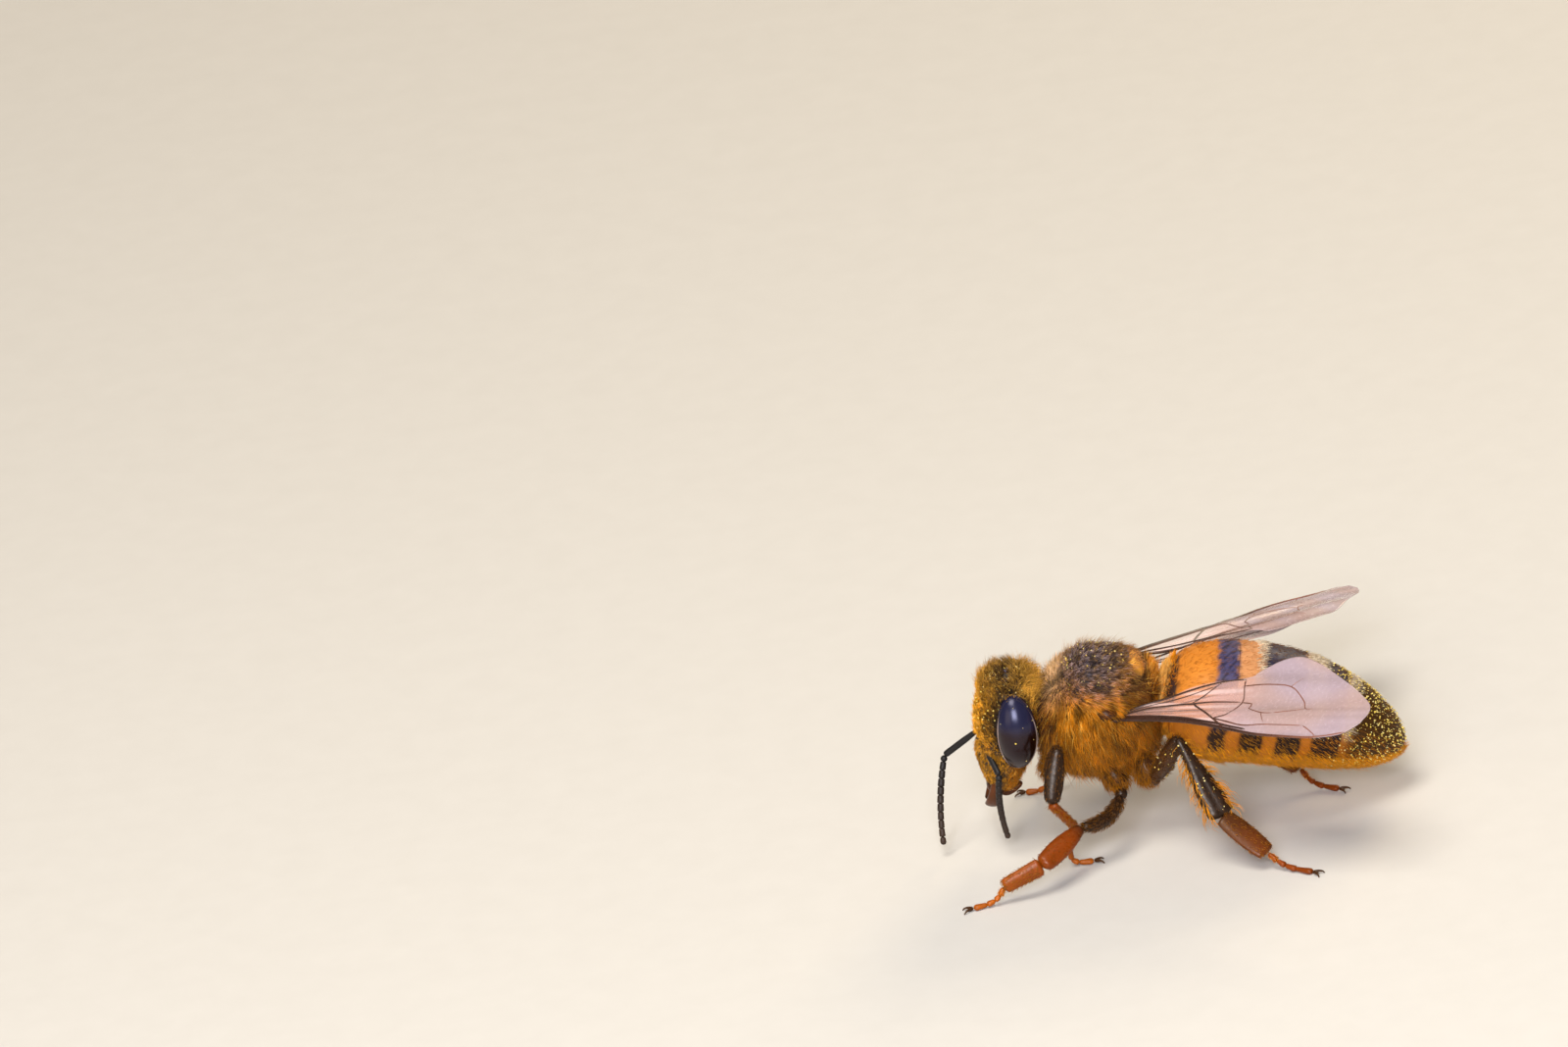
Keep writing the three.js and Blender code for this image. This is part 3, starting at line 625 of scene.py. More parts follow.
# ---------------------------------------------------------------- abdomen
# Six rings of glossy plate telescope into each other, each with its hind edge over the next one's front.
# The first three are orange with black hind bands, and the last three dark, with pale felt at their bases.
ABDOMEN = {"start": 2.1, "fullest": 4.7, "end": 9.58, "half": 1.88, "flatness": 1.1}
ABDOMEN_COAT = 0.07
RING_SLANT = 0.17
RING_ENDS = (2.42, 4.2, 6.3, 7.55, 8.5)
AXIS = {"height": 0.25, "level": 4, "drop": 0.055, "power": 1.83}
BELLY_STEP, EDGE_LIFT = 0.05, 0.03
RING_ROWS, RING_SIDES = 22, 96
TUCKED = np.array(((-0.14, -0.05), (-0.05, -0.03)))  # rows under the ring in front, and their sinking
FOLDED = np.array(((0.02, 0.02, -0.08), (0.022, -0.02, -0.045)))  # rows that turn in at the hind edge
ORANGE = (0.55, 0.185, 0.020)
ROSE = (0.58, 0.26, 0.10)
UNDER_ORANGE = (0.46, 0.14, 0.010)
BAND_BLACK_SKY_TINT = (0.014, 0.013, 0.038)
BAND_SKY_REFLECTION = (0.060, 0.052, 0.125)
SIDE_BLACK = (0.022, 0.010, 0.006)
BAND_BROWN = (0.035, 0.018, 0.014)
RUST = (0.17, 0.055, 0.02)
TAIL_OLIVE = (0.050, 0.020, 0.003)
PALE_BASE = (0.56, 0.42, 0.27)
BAND_BLUR = 0.05


def girth(x):
    a = ABDOMEN
    front = np.clip((a["fullest"] - x) / (a["fullest"] - a["start"]), 0, 1)
    rear = np.clip((x - a["fullest"]) / (a["end"] - a["fullest"]), 0, 1)
    return np.where(x < a["fullest"], a["half"] * (1 - front**3) ** 0.36, a["half"] * (1 - rear**2.2) ** 0.5)


def axis_height(x):
    return AXIS["height"] - AXIS["drop"] * np.maximum(0, x - AXIS["level"]) ** AXIS["power"]


def abdomen_rings(x, step):
    """Slanted rings at distances behind the thorax, each raised or sunk by its own step."""
    half, centre = girth(x), axis_height(x)
    for _ in range(4):
        back, fore = x + RING_SLANT * half, x - RING_SLANT * half
        high = axis_height(back) + girth(back)
        low = axis_height(fore) - girth(fore)
        half = (half + (high - low) / 2) / 2
        centre = (high + low) / 2
    size = np.maximum(half - ABDOMEN_COAT + step, 0.02)[:, None]
    turn = circle(RING_SIDES)[None, :]
    rise = np.sin(turn)
    size = size - BELLY_STEP * smooth(-rise, 0.62, 0.68) * np.minimum(1, size)
    return np.stack([
        -x[:, None] - RING_SLANT * size * rise,
        ABDOMEN["flatness"] * size * np.cos(turn),
        centre[:, None] + size * rise,
    ], axis=-1)


def ring_place(points):
    """How far back points lie along the slanted rings, and how high on the side, from -1 to 1."""
    back = -points[..., 0]
    half = np.maximum(girth(back), 0.3)
    rise = np.clip((points[..., 2] - axis_height(back)) / half, -1, 1)
    return back - RING_SLANT * half * rise, rise


def abdomen_colour(points):
    """The bands and spots, with ragged edges."""
    x, rise = ring_place(points)
    x = x + 0.035 * wavy(points, 0.5, 3)
    edge = lambda a: smooth(x, a - BAND_BLUR, a + BAND_BLUR)
    inside = lambda a, b: edge(a) * (1 - edge(b))
    colour = mixed(ORANGE, ROSE, smooth(x, 4.1, 4.3))
    colour = mixed(colour, THORAX_BROWN, 1 - smooth(x, 2.0, 2.2))
    colour = mixed(colour, RUST, between(x, 3.3, 3.6, 4.2, 4.4) * (1 - smooth(rise, 0.5, 0.9)) * 0.7)
    colour = mixed(colour, BAND_BROWN, inside(2.1, 2.42))
    # The first black band is clouded with violet: a painted reflection of the sky on the glossy plate.
    band_sky_reflection = mixed(BAND_SKY_REFLECTION, BAND_BLACK_SKY_TINT, smooth(wavy(points, 0.16, 9), -0.2, 0.7))
    colour = mixed(colour, band_sky_reflection, inside(3.58, 4.22))
    # The hind bands are black, tinted blue by a painted sky reflection.
    colour = mixed(colour, BAND_BLACK_SKY_TINT, np.clip(inside(4.98, 6.32) + inside(6.8, 7.6), 0, 1))
    colour = mixed(colour, TAIL_OLIVE, smooth(x, 7.55, 7.75))
    colour = mixed(colour, PALE_BASE, np.clip(inside(6.34, 6.8) + 0.6 * inside(7.62, 7.85), 0, 1))
    side = mixed(UNDER_ORANGE, ORANGE, smooth(rise, -0.4, 0.1) * 0.7)
    spots = inside(3.6, 4.12) + inside(4.56, 5.26) + inside(5.66, 6.4) + inside(6.7, 7.6)
    side = mixed(side, SIDE_BLACK, np.clip(spots, 0, 1) * smooth(rise, -0.64, -0.4))
    side = mixed(side, TAIL_OLIVE, smooth(x, 7.5, 8.0) * smooth(rise, -0.75, -0.3))
    return mixed(side, colour, smooth(rise, -0.12, 0.22))


ABDOMEN_CHITIN = chitin("abdomen_chitin", rough=0.45, coat=0.02, pit=7000, depth=0.25, distance=1e-5,
                        mottle=0.15, shine=0.2, gleam=(1, 0.84, 0.7))
ring_grids = []
for i in range(6):
    first, last = i == 0, i == 5
    begin = ABDOMEN["start"] + 0.02 if first else RING_ENDS[i - 1]
    end = ABDOMEN["end"] - 0.04 if last else RING_ENDS[i]
    reach = np.linspace(0, 1, RING_ROWS)
    x = begin + (end - begin) * (reach**1.6 if first else np.sin(reach * np.pi / 2) if last else reach)
    step = (0 if last else EDGE_LIFT) * reach
    if not first:
        x, step = np.append(begin + TUCKED[0], x), np.append(TUCKED[1], step)
    if not last:
        x, step = np.append(x, end + FOLDED[0]), np.append(step, FOLDED[1])
    grid = abdomen_rings(x, step)
    ring_grids.append(grid)
    settle(lofted([grid], [abdomen_colour(grid)]), f"abdomen_ring_{i + 1}", ABDOMEN_CHITIN,
           "amber" if i < 3 else "shell", f"abdomen_{i + 1}")

# ---------------------------------------------------------------- wings
# Each side has a fore wing and a smaller hind wing hooked under its hind edge: sheets of clear, faintly
# rosy membrane a hundredth of a millimetre thick, stiffened by hollow brown veins that fade to the tip.
WINGS = {
    "left": {"sign": 1, "root": (-0.6, 1.8, 0.41), "sweep": 29, "rise": 15.3, "lift": 20},
    "right": {"sign": -1, "root": (-0.6, -1.8, 0.88), "sweep": 33.5, "rise": 0, "lift": 12},
}
FORE_FRONT = [(0.1, 0.12), (1.3, 0.02), (2.6, -0.12), (3.9, -0.37), (5.0, -0.63), (6.0, -0.8),
              (7.3, -0.92), (8.0, -0.9), (8.5, -0.79), (8.9, -0.56), (9.1, -0.26), (9.14, 0.02)]
FORE_BACK = [(0.1, 0.22), (0.9, 0.6), (2.6, 1.24), (4.3, 1.5), (4.62, 1.78), (5.2, 2.08), (5.95, 2.21),
             (6.7, 1.96), (7.3, 1.61), (8.0, 1.12), (8.6, 0.68), (9.0, 0.32), (9.14, 0.02)]
HIND_FRONT = [(0.3, 0.5), (0.8, 0.5), (2.6, 0.18), (5.0, -0.32), (6.6, -0.2), (7.1, 0.3)]
HIND_BACK = [(0.3, 0.6), (0.8, 0.75), (1.7, 1.0), (3.2, 1.3), (5.0, 1.42), (6.4, 0.95), (7.1, 0.3)]
FILM_HALF = 0.009
VEIN_DARK = (0.035, 0.012, 0.006)
VEIN_ROSE = (0.22, 0.075, 0.04)
FILM_ROOT = (0.88, 0.50, 0.40, 0.14)
FILM_FOLD_HIGHLIGHT = (0.95, 0.68, 0.62, 0.5)
FILM_TIP_SHEEN = (0.52, 0.36, 0.33, 0.66)
FILM_SKY_REFLECTION = (0.52, 0.42, 0.49, 0.6)
VEIN_SWELL, VEIN_SIDES = 1.12, 8
FORE_VEINS = [  # path, and radius at its root and at its tip
    ([(0.1, 0.12), (1.3, 0.02), (2.6, -0.11), (3.9, -0.36), (5.0, -0.62), (6.0, -0.79), (7.3, -0.9),
      (8.5, -0.78)], 0.075, 0.025),
    ([(0.15, 0.2), (2.2, 0.04), (3.7, -0.22), (4.9, -0.5)], 0.045, 0.03),
    ([(0.2, 0.25), (1.4, 0.5), (2.56, 0.61), (2.82, 0.48), (3.59, -0.04), (4.19, -0.47)], 0.035, 0.03),
    ([(0.3, 0.35), (1.33, 0.8), (2.57, 1.14), (3.64, 1.36), (4.3, 1.42)], 0.04, 0.025),
    ([(0.25, 0.3), (1.4, 0.68), (2.56, 0.98), (3.3, 1.18)], 0.022, 0.016),
    ([(2.56, 0.61), (3.3, 0.66), (4.35, 0.6)], 0.028, 0.022),
    ([(2.6, 0.66), (3.17, 1.05), (3.5, 1.3)], 0.022, 0.02),
    ([(4.3, 1.42), (4.36, 1.1), (4.42, 0.65), (4.3, 0.3), (4.1, 0.05), (3.62, -0.06)], 0.026, 0.022),
    ([(4.36, 1.14), (5.2, 1.16), (6.05, 1.03), (6.6, 0.55), (6.78, 0.21), (7.07, 0.18)], 0.024, 0.018),
    ([(6.05, 1.03), (6.35, 1.4)], 0.02, 0.012),
    ([(4.4, 0.58), (4.81, 0.49), (4.77, 0.29), (5.29, 0.07), (5.73, 0.04)], 0.024, 0.018),
    ([(5.73, 0.04), (6.4, 0.12), (6.78, 0.21)], 0.02, 0.016),
    ([(3.62, -0.06), (4.72, -0.34), (5.44, -0.36), (6.93, -0.46)], 0.026, 0.016),
    ([(5.29, 0.07), (5.5, -0.3)], 0.018, 0.014),
    ([(6.93, -0.46), (7.3, -0.7), (7.5, -0.9)], 0.02, 0.016),
]
HIND_VEINS = [
    ([(0.5, 0.5), (2.6, 0.22), (5.0, -0.27), (6.5, -0.16)], 0.04, 0.02),
    ([(0.6, 0.58), (2.4, 0.62), (3.4, 0.55), (4.6, 0.5), (5.8, 0.55)], 0.026, 0.016),
    ([(3.4, 0.55), (3.2, 0.2), (3.3, 0.06)], 0.022, 0.02),
    ([(0.6, 0.62), (2.2, 0.95), (3.6, 1.18)], 0.024, 0.014),
]
WING_PARTS = {  # front edge, hind edge, height over the wing's plane, and veins
    "fore": (FORE_FRONT, FORE_BACK, -0.06, FORE_VEINS),
    "hind": (HIND_FRONT, HIND_BACK, -0.36, HIND_VEINS),
}


def wing_frame(spec):
    """Along the wing, from its front to its hind edge, and up, as the bee's own directions."""
    sign = spec["sign"]
    out, up, tilt = (math.radians(spec[k]) for k in ("sweep", "rise", "lift"))
    ahead = np.array([-math.cos(out) * math.cos(up), sign * math.sin(out) * math.cos(up), math.sin(up)])
    across = np.array([0, -sign * math.cos(tilt), math.sin(tilt)])
    across = unit(across - ahead * (across @ ahead))
    return ahead, across, np.cross(ahead, across) * sign


def on_wing(spec, s, c, height):
    """Places along and across a wing's sheet, with its fine pleats, its arch and its slack tip."""
    pleat = 0.06 * np.sin(5.2 * c + 0.35 * s) * smooth(s, 0.3, 1.6) * (1 - 0.6 * smooth(s, 6.5, 9))
    arch = 0.03 * np.sin(np.pi * np.clip(s / 9.2, 0, 1))
    slack = 0.02 * np.sin(1.7 * s + 2.2 * c) * smooth(s, 5, 7.5)
    crease = 0.008 * np.sin(19 * c + 1.5 * np.sin(0.9 * s)) * smooth(s, 2.5, 4)
    height = height + pleat + arch + slack + crease * (1 - smooth(c, -0.2, 0.8))
    ahead, across, over = wing_frame(spec)
    return np.array(spec["root"]) + s[..., None] * ahead + c[..., None] * across + height[..., None] * over


def even(points, count):
    """The same polyline in even steps."""
    curve = through(points)
    run = np.concatenate([[0], np.cumsum(np.linalg.norm(np.diff(curve, axis=0), axis=1))])
    at = np.linspace(0, run[-1], count)
    return np.stack([np.interp(at, run, curve[:, k]) for k in range(2)], axis=1)


def wing_sheet(spec, front, back, level):
    rows, columns = 110, 56
    lead, trail = even(front, rows), even(back, rows)
    share = np.linspace(0, 1, columns)[None, :, None]
    flat = lead[:, None] * (1 - share) + trail[:, None] * share
    flat[-1] = flat[-1, :1] + (flat[-2] - flat[-2].mean(0)) * 0.12
    s, c = flat[..., 0], flat[..., 1]
    upper = on_wing(spec, s, c, level + FILM_HALF)
    lower = on_wing(spec, s, c, level - FILM_HALF)
    half = rows * columns
    at = lambda r, k: r * columns + k
    faces = []
    for r in range(rows - 1):
        for k in range(columns - 1):
            face = (at(r, k), at(r, k + 1), at(r + 1, k + 1), at(r + 1, k))
            faces += [face, tuple(half + v for v in reversed(face))]
    edge = [at(0, k) for k in range(columns)] + [at(r, columns - 1) for r in range(1, rows)]
    edge += [at(rows - 1, k) for k in range(columns - 2, -1, -1)] + [at(r, 0) for r in range(rows - 2, 0, -1)]
    faces += [(a, b, half + b, half + a) for a, b in zip(edge, edge[1:] + edge[:1])]
    # Pale streaks across the film are painted highlights along its folds.
    fold_highlight = smooth(np.sin(11 * c + 0.9 * s) + 0.6 * np.sin(23 * c - 0.7 * s), 0.1, 1.3)
    # Towards the tip the film turns greyer and more opaque: a painted reflective sheen.
    tint = mixed(mixed(FILM_ROOT, FILM_FOLD_HIGHLIGHT, fold_highlight), FILM_TIP_SHEEN, smooth(s, 2.4, 5.6))
    # Lilac clouds on the outer film are a painted reflection of the sky.
    sky_reflection_share = smooth(wavy(upper, 1.7, 21), -0.6, 0.9) * smooth(s, 3.5, 5.5) * 0.7
    tint = mixed(tint, FILM_SKY_REFLECTION, sky_reflection_share).reshape(-1, 4)
    points = np.vstack([upper.reshape(-1, 3), lower.reshape(-1, 3)])
    return meshed(points, faces, np.vstack([tint, tint]))


def vein_tubes(spec, veins, level):
    grids, tints = [], []
    for path, thick_root, thick_tip in veins:
        count = max(10, int(9 * np.linalg.norm(np.diff(path, axis=0), axis=1).sum()))
        s, c = even(path, count).T
        line = on_wing(spec, s, c, level)
        over = wing_frame(spec)[2]
        side = unit(np.cross(unit(np.gradient(line, axis=0)), over))
        radius = np.linspace(thick_root, thick_tip, count) * VEIN_SWELL
        radius[[0, -1]] *= 0.5
        turn = circle(VEIN_SIDES)[None, :, None]
        tube = side[:, None] * np.cos(turn) + 0.75 * over * np.sin(turn)
        grids.append(line[:, None] + radius[:, None, None] * tube)
        fade = smooth(s, 2.6, 6.8) if thick_root < 0.04 else smooth(s, 4.5, 8.0)
        tints.append(np.repeat(mixed(VEIN_DARK, VEIN_ROSE, fade)[:, None], VEIN_SIDES, axis=1))
    return lofted(grids, tints)


def membrane():
    """Clear rosy film with fine wrinkles; towards the tip it is painted greyer and more opaque, a painted
    sheen of reflected light.
    """
    finish, nodes, links, shader = material(
        "wing_membrane", Specular_IOR_Level=0.6, Coat_Weight=0.4, Coat_Roughness=0.15)
    tint = mesh_tint(nodes)
    links.new(tint.outputs["Color"], shader.inputs["Base Color"])
    wrinkle = noise(nodes, links, 8000, 4, 0.6)
    links.new(ranged(nodes, links, wrinkle, 0.18, 0.3), shader.inputs["Roughness"])
    bumped(nodes, links, shader, wrinkle, 0.12, 8e-6)
    cloud = added(nodes, "Math")
    cloud.operation = "MULTIPLY"
    links.new(tint.outputs["Alpha"], cloud.inputs[0])
    links.new(ranged(nodes, links, wrinkle, 0.92, 1.08), cloud.inputs[1])
    links.new(cloud.outputs["Value"], shader.inputs["Alpha"])
    finish.use_transparency_overlap = True
    return finish


WING_FILM = membrane()
VEIN_CHITIN = chitin("vein_chitin", rough=0.3, coat=0.4, pit=20000)
for side, spec in WINGS.items():
    for part, (front, back, level, veins) in WING_PARTS.items():
        sheet = wing_sheet(spec, front, back, level)
        settle(sheet, f"{part}_wing_sheet_{side}", WING_FILM, "wing", f"{part}wing_{side}")
    for part, (front, back, level, veins) in WING_PARTS.items():
        settle(vein_tubes(spec, veins, level), f"{part}_wing_veins_{side}", VEIN_CHITIN, "brown")

# ---------------------------------------------------------------- legs
# Six legs of five hard pieces each: hip, thigh, shin, a long first toe joint and four short ones, ending in
# two claws and a pad. The hind shin is flat and hollowed, with a fringe that holds pollen.
LEGS = {  # root; hip, knee, ankle and instep; the thigh's bow; the foot's tip and span; half-widths
    "fore_left": (
        (1.0, 0.5, -1.2), ((1.3, 0.9, -1.92), (1.03, 2.25, -0.28), (1.22, 2.95, -1.84), (0.48, 2.34, -2.89)),
        (0, 0.1, 0), (-0.1, 2.3, 1.25), (0.3, 0.24, 0.3, 0.17)),
    "fore_right": (
        (1.0, -0.5, -1.2), ((1.3, -0.9, -1.92), (1.2, -2.5, -0.8), (1.0, -3.0, -2.4), (1.25, -3.05, -3.42)),
        (0, -0.1, 0.1), (1.95, -3.2, 1.1), (0.3, 0.24, 0.26, 0.17)),
    "mid_left": (
        (-0.4, 0.8, -1.3), ((-0.95, 1.3, -2.08), (0.3, 2.84, -2.66), (1.52, 4.1, -3.36), (2.68, 4.28, -3.98)),
        (-0.4, 0.3, -0.45), (3.6, 4.42, 1.15), (0.32, 0.22, 0.34, 0.29)),
    "mid_right": (
        (-0.4, -0.8, -1.3),
        ((-0.95, -1.3, -2.08), (-1.0, -3.25, -1.55), (-1.5, -4.5, -2.98), (-2.25, -5.55, -3.3)),
        (0, -0.1, 0.2), (-3.05, -6.4, 1.2), (0.32, 0.22, 0.34, 0.29)),
    "hind_left": (
        (-1.5, 0.8, -1.2),
        ((-1.85, 1.2, -1.95), (-2.6, 2.3, 0.08), (-3.97, 3.52, -1.98), (-5.32, 4.4, -2.78)),
        (-0.1, 0.15, 0.1), (-6.7, 5.25, 1.6), (0.34, 0.28, 0.42, 0.4)),
    "hind_right": (
        (-1.5, -0.8, -1.2),
        ((-1.85, -1.2, -1.95), (-2.65, -2.4, -0.05), (-5.0, -1.75, -1.98), (-6.4, -1.0, -2.5)),
        (-0.1, -0.15, 0.1), (-7.6, -0.3, 1.45), (0.34, 0.28, 0.42, 0.4)),
}
LEG_BLACK = (0.018, 0.008, 0.004)
LEG_UMBER = (0.055, 0.020, 0.006)
LEG_RUSSET = (0.20, 0.036, 0.002)
TOE_ORANGE = (0.36, 0.082, 0.004)
LEG_KINDS = {  # colours of thigh, shin, first toe joint and toes; half the shin's thickness
    "fore": (LEG_UMBER, LEG_BLACK, LEG_RUSSET, TOE_ORANGE, 0.17),
    "mid": (LEG_BLACK, LEG_RUSSET, LEG_RUSSET, TOE_ORANGE, 0.19),
    "hind": (LEG_UMBER, LEG_BLACK, LEG_UMBER, LEG_RUSSET, 0.17),
}
SHIN_FULLEST = {"fore": 0.85, "mid": 0.8}
HEEL_TAPER = {"fore": 0.25, "mid": 0.2}
LEG_FACING = (1, 0, 0.2)
TOE_HALF = 0.1
TOE_JOINTS = 4
TOE_SPREAD = 0.96
CLAW_ANGLE, CLAW_REACH, PAD_REACH = 0.5, 0.34, 0.17
TROCHANTER_HALF, TROCHANTER_END, THIGH_START = 0.2, 0.16, 0.1
JOINT_HALF, HIND_JOINT_HALF, SHIN_TOP_FLAT, HEEL_FLAT = 0.13, 0.15, 0.12, 0.13
SHIN_HOLLOW, SHIN_SIDES = 0.3, 28


def above_floor(x, y, height):
    """The bee's own coordinates of a point at a height over the floor."""
    return np.array([x, y, (height - THORAX_HEIGHT - x * math.sin(PITCH)) / math.cos(PITCH)])


def foot_parts(hip, instep, foot):
    """Four small toe joints on a path that runs down to the floor, then two claws and the pad."""
    x, y, span = foot
    level = TOE_HALF * 0.9
    tip = above_floor(x, y, level)
    way = unit((tip - instep) * (1, 1, 0))
    off = lambda aim, height: above_floor(tip[0] + aim[0], tip[1] + aim[1], height)
    path = bezier(instep, off(-way * span * 0.7, level + 0.12), off(-way * span * 0.6, level), tip)
    heel_side = np.array([0, math.copysign(1, hip[1]), 0])
    flare = lambda t: TOE_HALF * (0.72 + 0.5 * smooth(t, 0.1, 0.85))
    parts = []
    for i in range(TOE_JOINTS):
        start, end = (0.02 + TOE_SPREAD * k / TOE_JOINTS for k in (i, i + 1))
        parts.append(limb(path, flare, lambda t: TOE_HALF * (0.7 + 0.3 * t), heel_side, 12, 14,
                          start, end + 0.015))
    hook = lambda t: 0.05 * (1 - 0.7 * t)
    for angle in (CLAW_ANGLE, -CLAW_ANGLE):
        cos, sin = math.cos(angle), math.sin(angle)
        aim = np.array([way[0] * cos - way[1] * sin, way[0] * sin + way[1] * cos]) * CLAW_REACH
        claw = bezier(tip, off(aim * 0.8, level + 0.05), off(aim, 0.012))
        parts.append(limb(claw, hook, hook, heel_side, 14, 10))
    pad = bezier(tip, off(way * PAD_REACH, 0.05))
    parts.append(limb(pad, lambda t: 0.075, lambda t: 0.045, heel_side, 10, 12))
    return parts


LEG_CHITIN = chitin("leg_chitin", rough=0.3, coat=0.04, pit=10000, depth=0.4, shine=0.25,
                    gleam=(1, 0.85, 0.7))
leg_grids = {}
for name, (root, joints, bow, foot, halves) in LEGS.items():
    kind = name.split("_")[0]
    thigh_tint, shin_tint, heel_tint, toe_tint, flat = LEG_KINDS[kind]
    hip, knee, ankle, instep = np.array(joints)
    hip_half, thigh_half, shin_half, heel_half = halves
    bulge = lambda t, power: np.sin(np.pi * np.clip(t, 0, 1)) ** power
    coxa = limb(bezier(root, hip), lambda t: hip_half + 0.03, lambda t: hip_half, LEG_FACING, 22, 22)
    thigh_path = bezier(hip, (hip + knee) / 2 + bow, knee)
    ball_joint = lambda t: TROCHANTER_HALF
    trochanter = limb(thigh_path, ball_joint, ball_joint, LEG_FACING, 12, 20, 0, TROCHANTER_END)
    swell = lambda t: JOINT_HALF + (thigh_half - JOINT_HALF) * bulge(np.clip(t, 0, 1) ** 0.9, 0.7)
    femur = limb(thigh_path, swell, swell, LEG_FACING, 30, 24, THIGH_START, 1.0)
    if kind == "hind":
        shin_width = lambda t: HIND_JOINT_HALF + (shin_half - HIND_JOINT_HALF) * smooth(t, 0.0, 0.85)
        heel_size = lambda t: heel_half * (0.76 + 0.24 * bulge(t, 0.7))
    else:
        shin_width = lambda t: JOINT_HALF + (shin_half - JOINT_HALF) * bulge(t * SHIN_FULLEST[kind], 0.8)
        heel_size = lambda t: heel_half * (1 - HEEL_TAPER[kind] * t)
    shin_flat = lambda t: SHIN_TOP_FLAT + (flat - SHIN_TOP_FLAT) * smooth(t, 0, 0.5)
    tibia = limb(bezier(knee, ankle), shin_width, shin_flat, LEG_FACING, 34, SHIN_SIDES)
    if kind == "hind":
        facing_away = (1 - np.abs(np.cos(circle(SHIN_SIDES)))[None, :]) ** 1.2
        hollow = SHIN_HOLLOW * smooth(along(tibia), 0.25, 0.6) * facing_away
        tibia = tibia + (tibia.mean(axis=1, keepdims=True) - tibia) * hollow[..., None]
    basitarsus = limb(bezier(ankle, instep), heel_size, lambda t: HEEL_FLAT, LEG_FACING, 30, 24, blunt=0.8)
    toes = foot_parts(hip, instep, foot)
    leg_grids[name] = {"coxa": coxa, "femur": femur, "tibia": tibia, "basitarsus": basitarsus,
                       "toes": toes[0]}
    thigh_tints = [thigh_tint, mixed(thigh_tint, LEG_BLACK, smooth(along(femur), 0.5, 1))]
    made = {
        "coxa": ([coxa], [thigh_tint], "shell"),
        "femur": ([trochanter, femur], thigh_tints, "shell"),
        "tibia": ([tibia], [mixed(shin_tint, LEG_BLACK, 1 - smooth(along(tibia), 0.02, 0.42))], "shell"),
        "basitarsus": ([basitarsus], [mixed(heel_tint, toe_tint, along(basitarsus) * 0.5)], "brown"),
        "toes": (toes, [toe_tint] * TOE_JOINTS + [LEG_UMBER] * 3, "brown"),
    }
    for part, (grids, tints, slot) in made.items():
        settle(lofted(grids, tints), f"{part}_{name}", LEG_CHITIN, slot, f"leg_{name}_{part}")

# ---------------------------------------------------------------- coat of the thorax
# Branched golden hair covers the thorax: short and worn thin over the dark back, pale at the collar and
# long on the sides, where it is combed down and back. Each hair is a fine curved spike of its own.
STRAND_SIDES = 3
PATCH = 0.003
LOOSE_SHARE, LOOSE_LONGER, LOOSE_THINNER, LOOSE_RISE = 0.07, 0.3, 0.25, 16
ROOT_DEPTH, BEND_TAPER = 0.015, 0.72
DOWN_HAIRS, FUZZ_HAIRS = 1000, 320
COLLAR_PALE = np.array((0.70, 0.44, 0.22))
SIDE_ROOT_SHADE = np.array((0.035, 0.008, 0.001))
SIDE_GOLD = np.array((0.90, 0.31, 0.010))
LONG_AMBER = np.array((0.55, 0.28, 0.06))
SIDE_BRIGHT = (1.0, 0.52, 0.08)
BACK_GREY_SKY_SHEEN = (0.60, 0.45, 0.44)
BACK_AMBER = (0.40, 0.20, 0.06)
BACK_UMBER_SKY_SHEEN = (0.050, 0.030, 0.046)
HAIR_DARK = (0.02, 0.010, 0.006)
OPEN_SPOTS = [((-1.2, 0, 1.4), (0.44, 0.78, 0.53)), ((-0.6, 1.8, 0.6), (0.4, 0.3, 0.25)),
              ((-0.6, -1.8, 0.7), (0.4, 0.3, 0.3))]
COAT_PARTS = {  # how many hairs, and where
    "back": (18000, lambda p: p[..., 2] > 0.7),
    "left": (15000, lambda p: (p[..., 2] <= 0.7) & (p[..., 1] > 0)),
    "right": (15000, lambda p: (p[..., 2] <= 0.7) & (p[..., 1] <= 0)),
}


def sow(grid, count, weight=lambda p: 1):
    """Roots scattered over a skin: places, outward and ringward directions, and place on its unwrap."""
    rings, sides, _ = grid.shape
    nearer = np.roll(grid, -1, axis=1)
    a, b, c, d = grid[:-1], nearer[:-1], nearer[1:], grid[1:]
    area = np.linalg.norm(np.cross(c - a, d - b), axis=2) * weight((a + c) / 2)
    pick = rng.choice(area.size, count, p=area.ravel() / area.sum())
    i, j = np.divmod(pick, sides)
    s, t = rng.random((2, count))
    outward = unit(np.cross(nearer - np.roll(grid, 1, 1), np.gradient(grid, axis=0)))
    if (outward * (grid - grid.mean(axis=1, keepdims=True))).sum() < 0:
        outward = -outward

    def at(field):
        low, high = (field[k, j] * (1 - t)[:, None] + field[k, (j + 1) % sides] * t[:, None]
                     for k in (i, i + 1))
        return low * (1 - s)[:, None] + high * s[:, None]

    return {
        "root": at(grid),
        "out": unit(at(outward)),
        "ringward": unit(grid[i + 1, j] - grid[i, j]),
        "place": np.stack([(j + t) / sides, (i + s) / (rings - 1)], axis=1),
    }


def comb(sown, lie, stray=0.25, lock=0.3):
    """Lays each hair along the given way, with its own stray and a lean that it shares with its lock."""
    lie = np.broadcast_to(np.asarray(lie, float), sown["root"].shape)
    shared = np.stack([wavy(sown["root"], 0.35, seed) for seed in (5, 6, 7)], axis=1)
    lie = unit(lie) + lock * shared + stray * rng.normal(size=lie.shape)
    sown["lie"] = unit(lie - sown["out"] * (lie * sown["out"]).sum(1, keepdims=True))


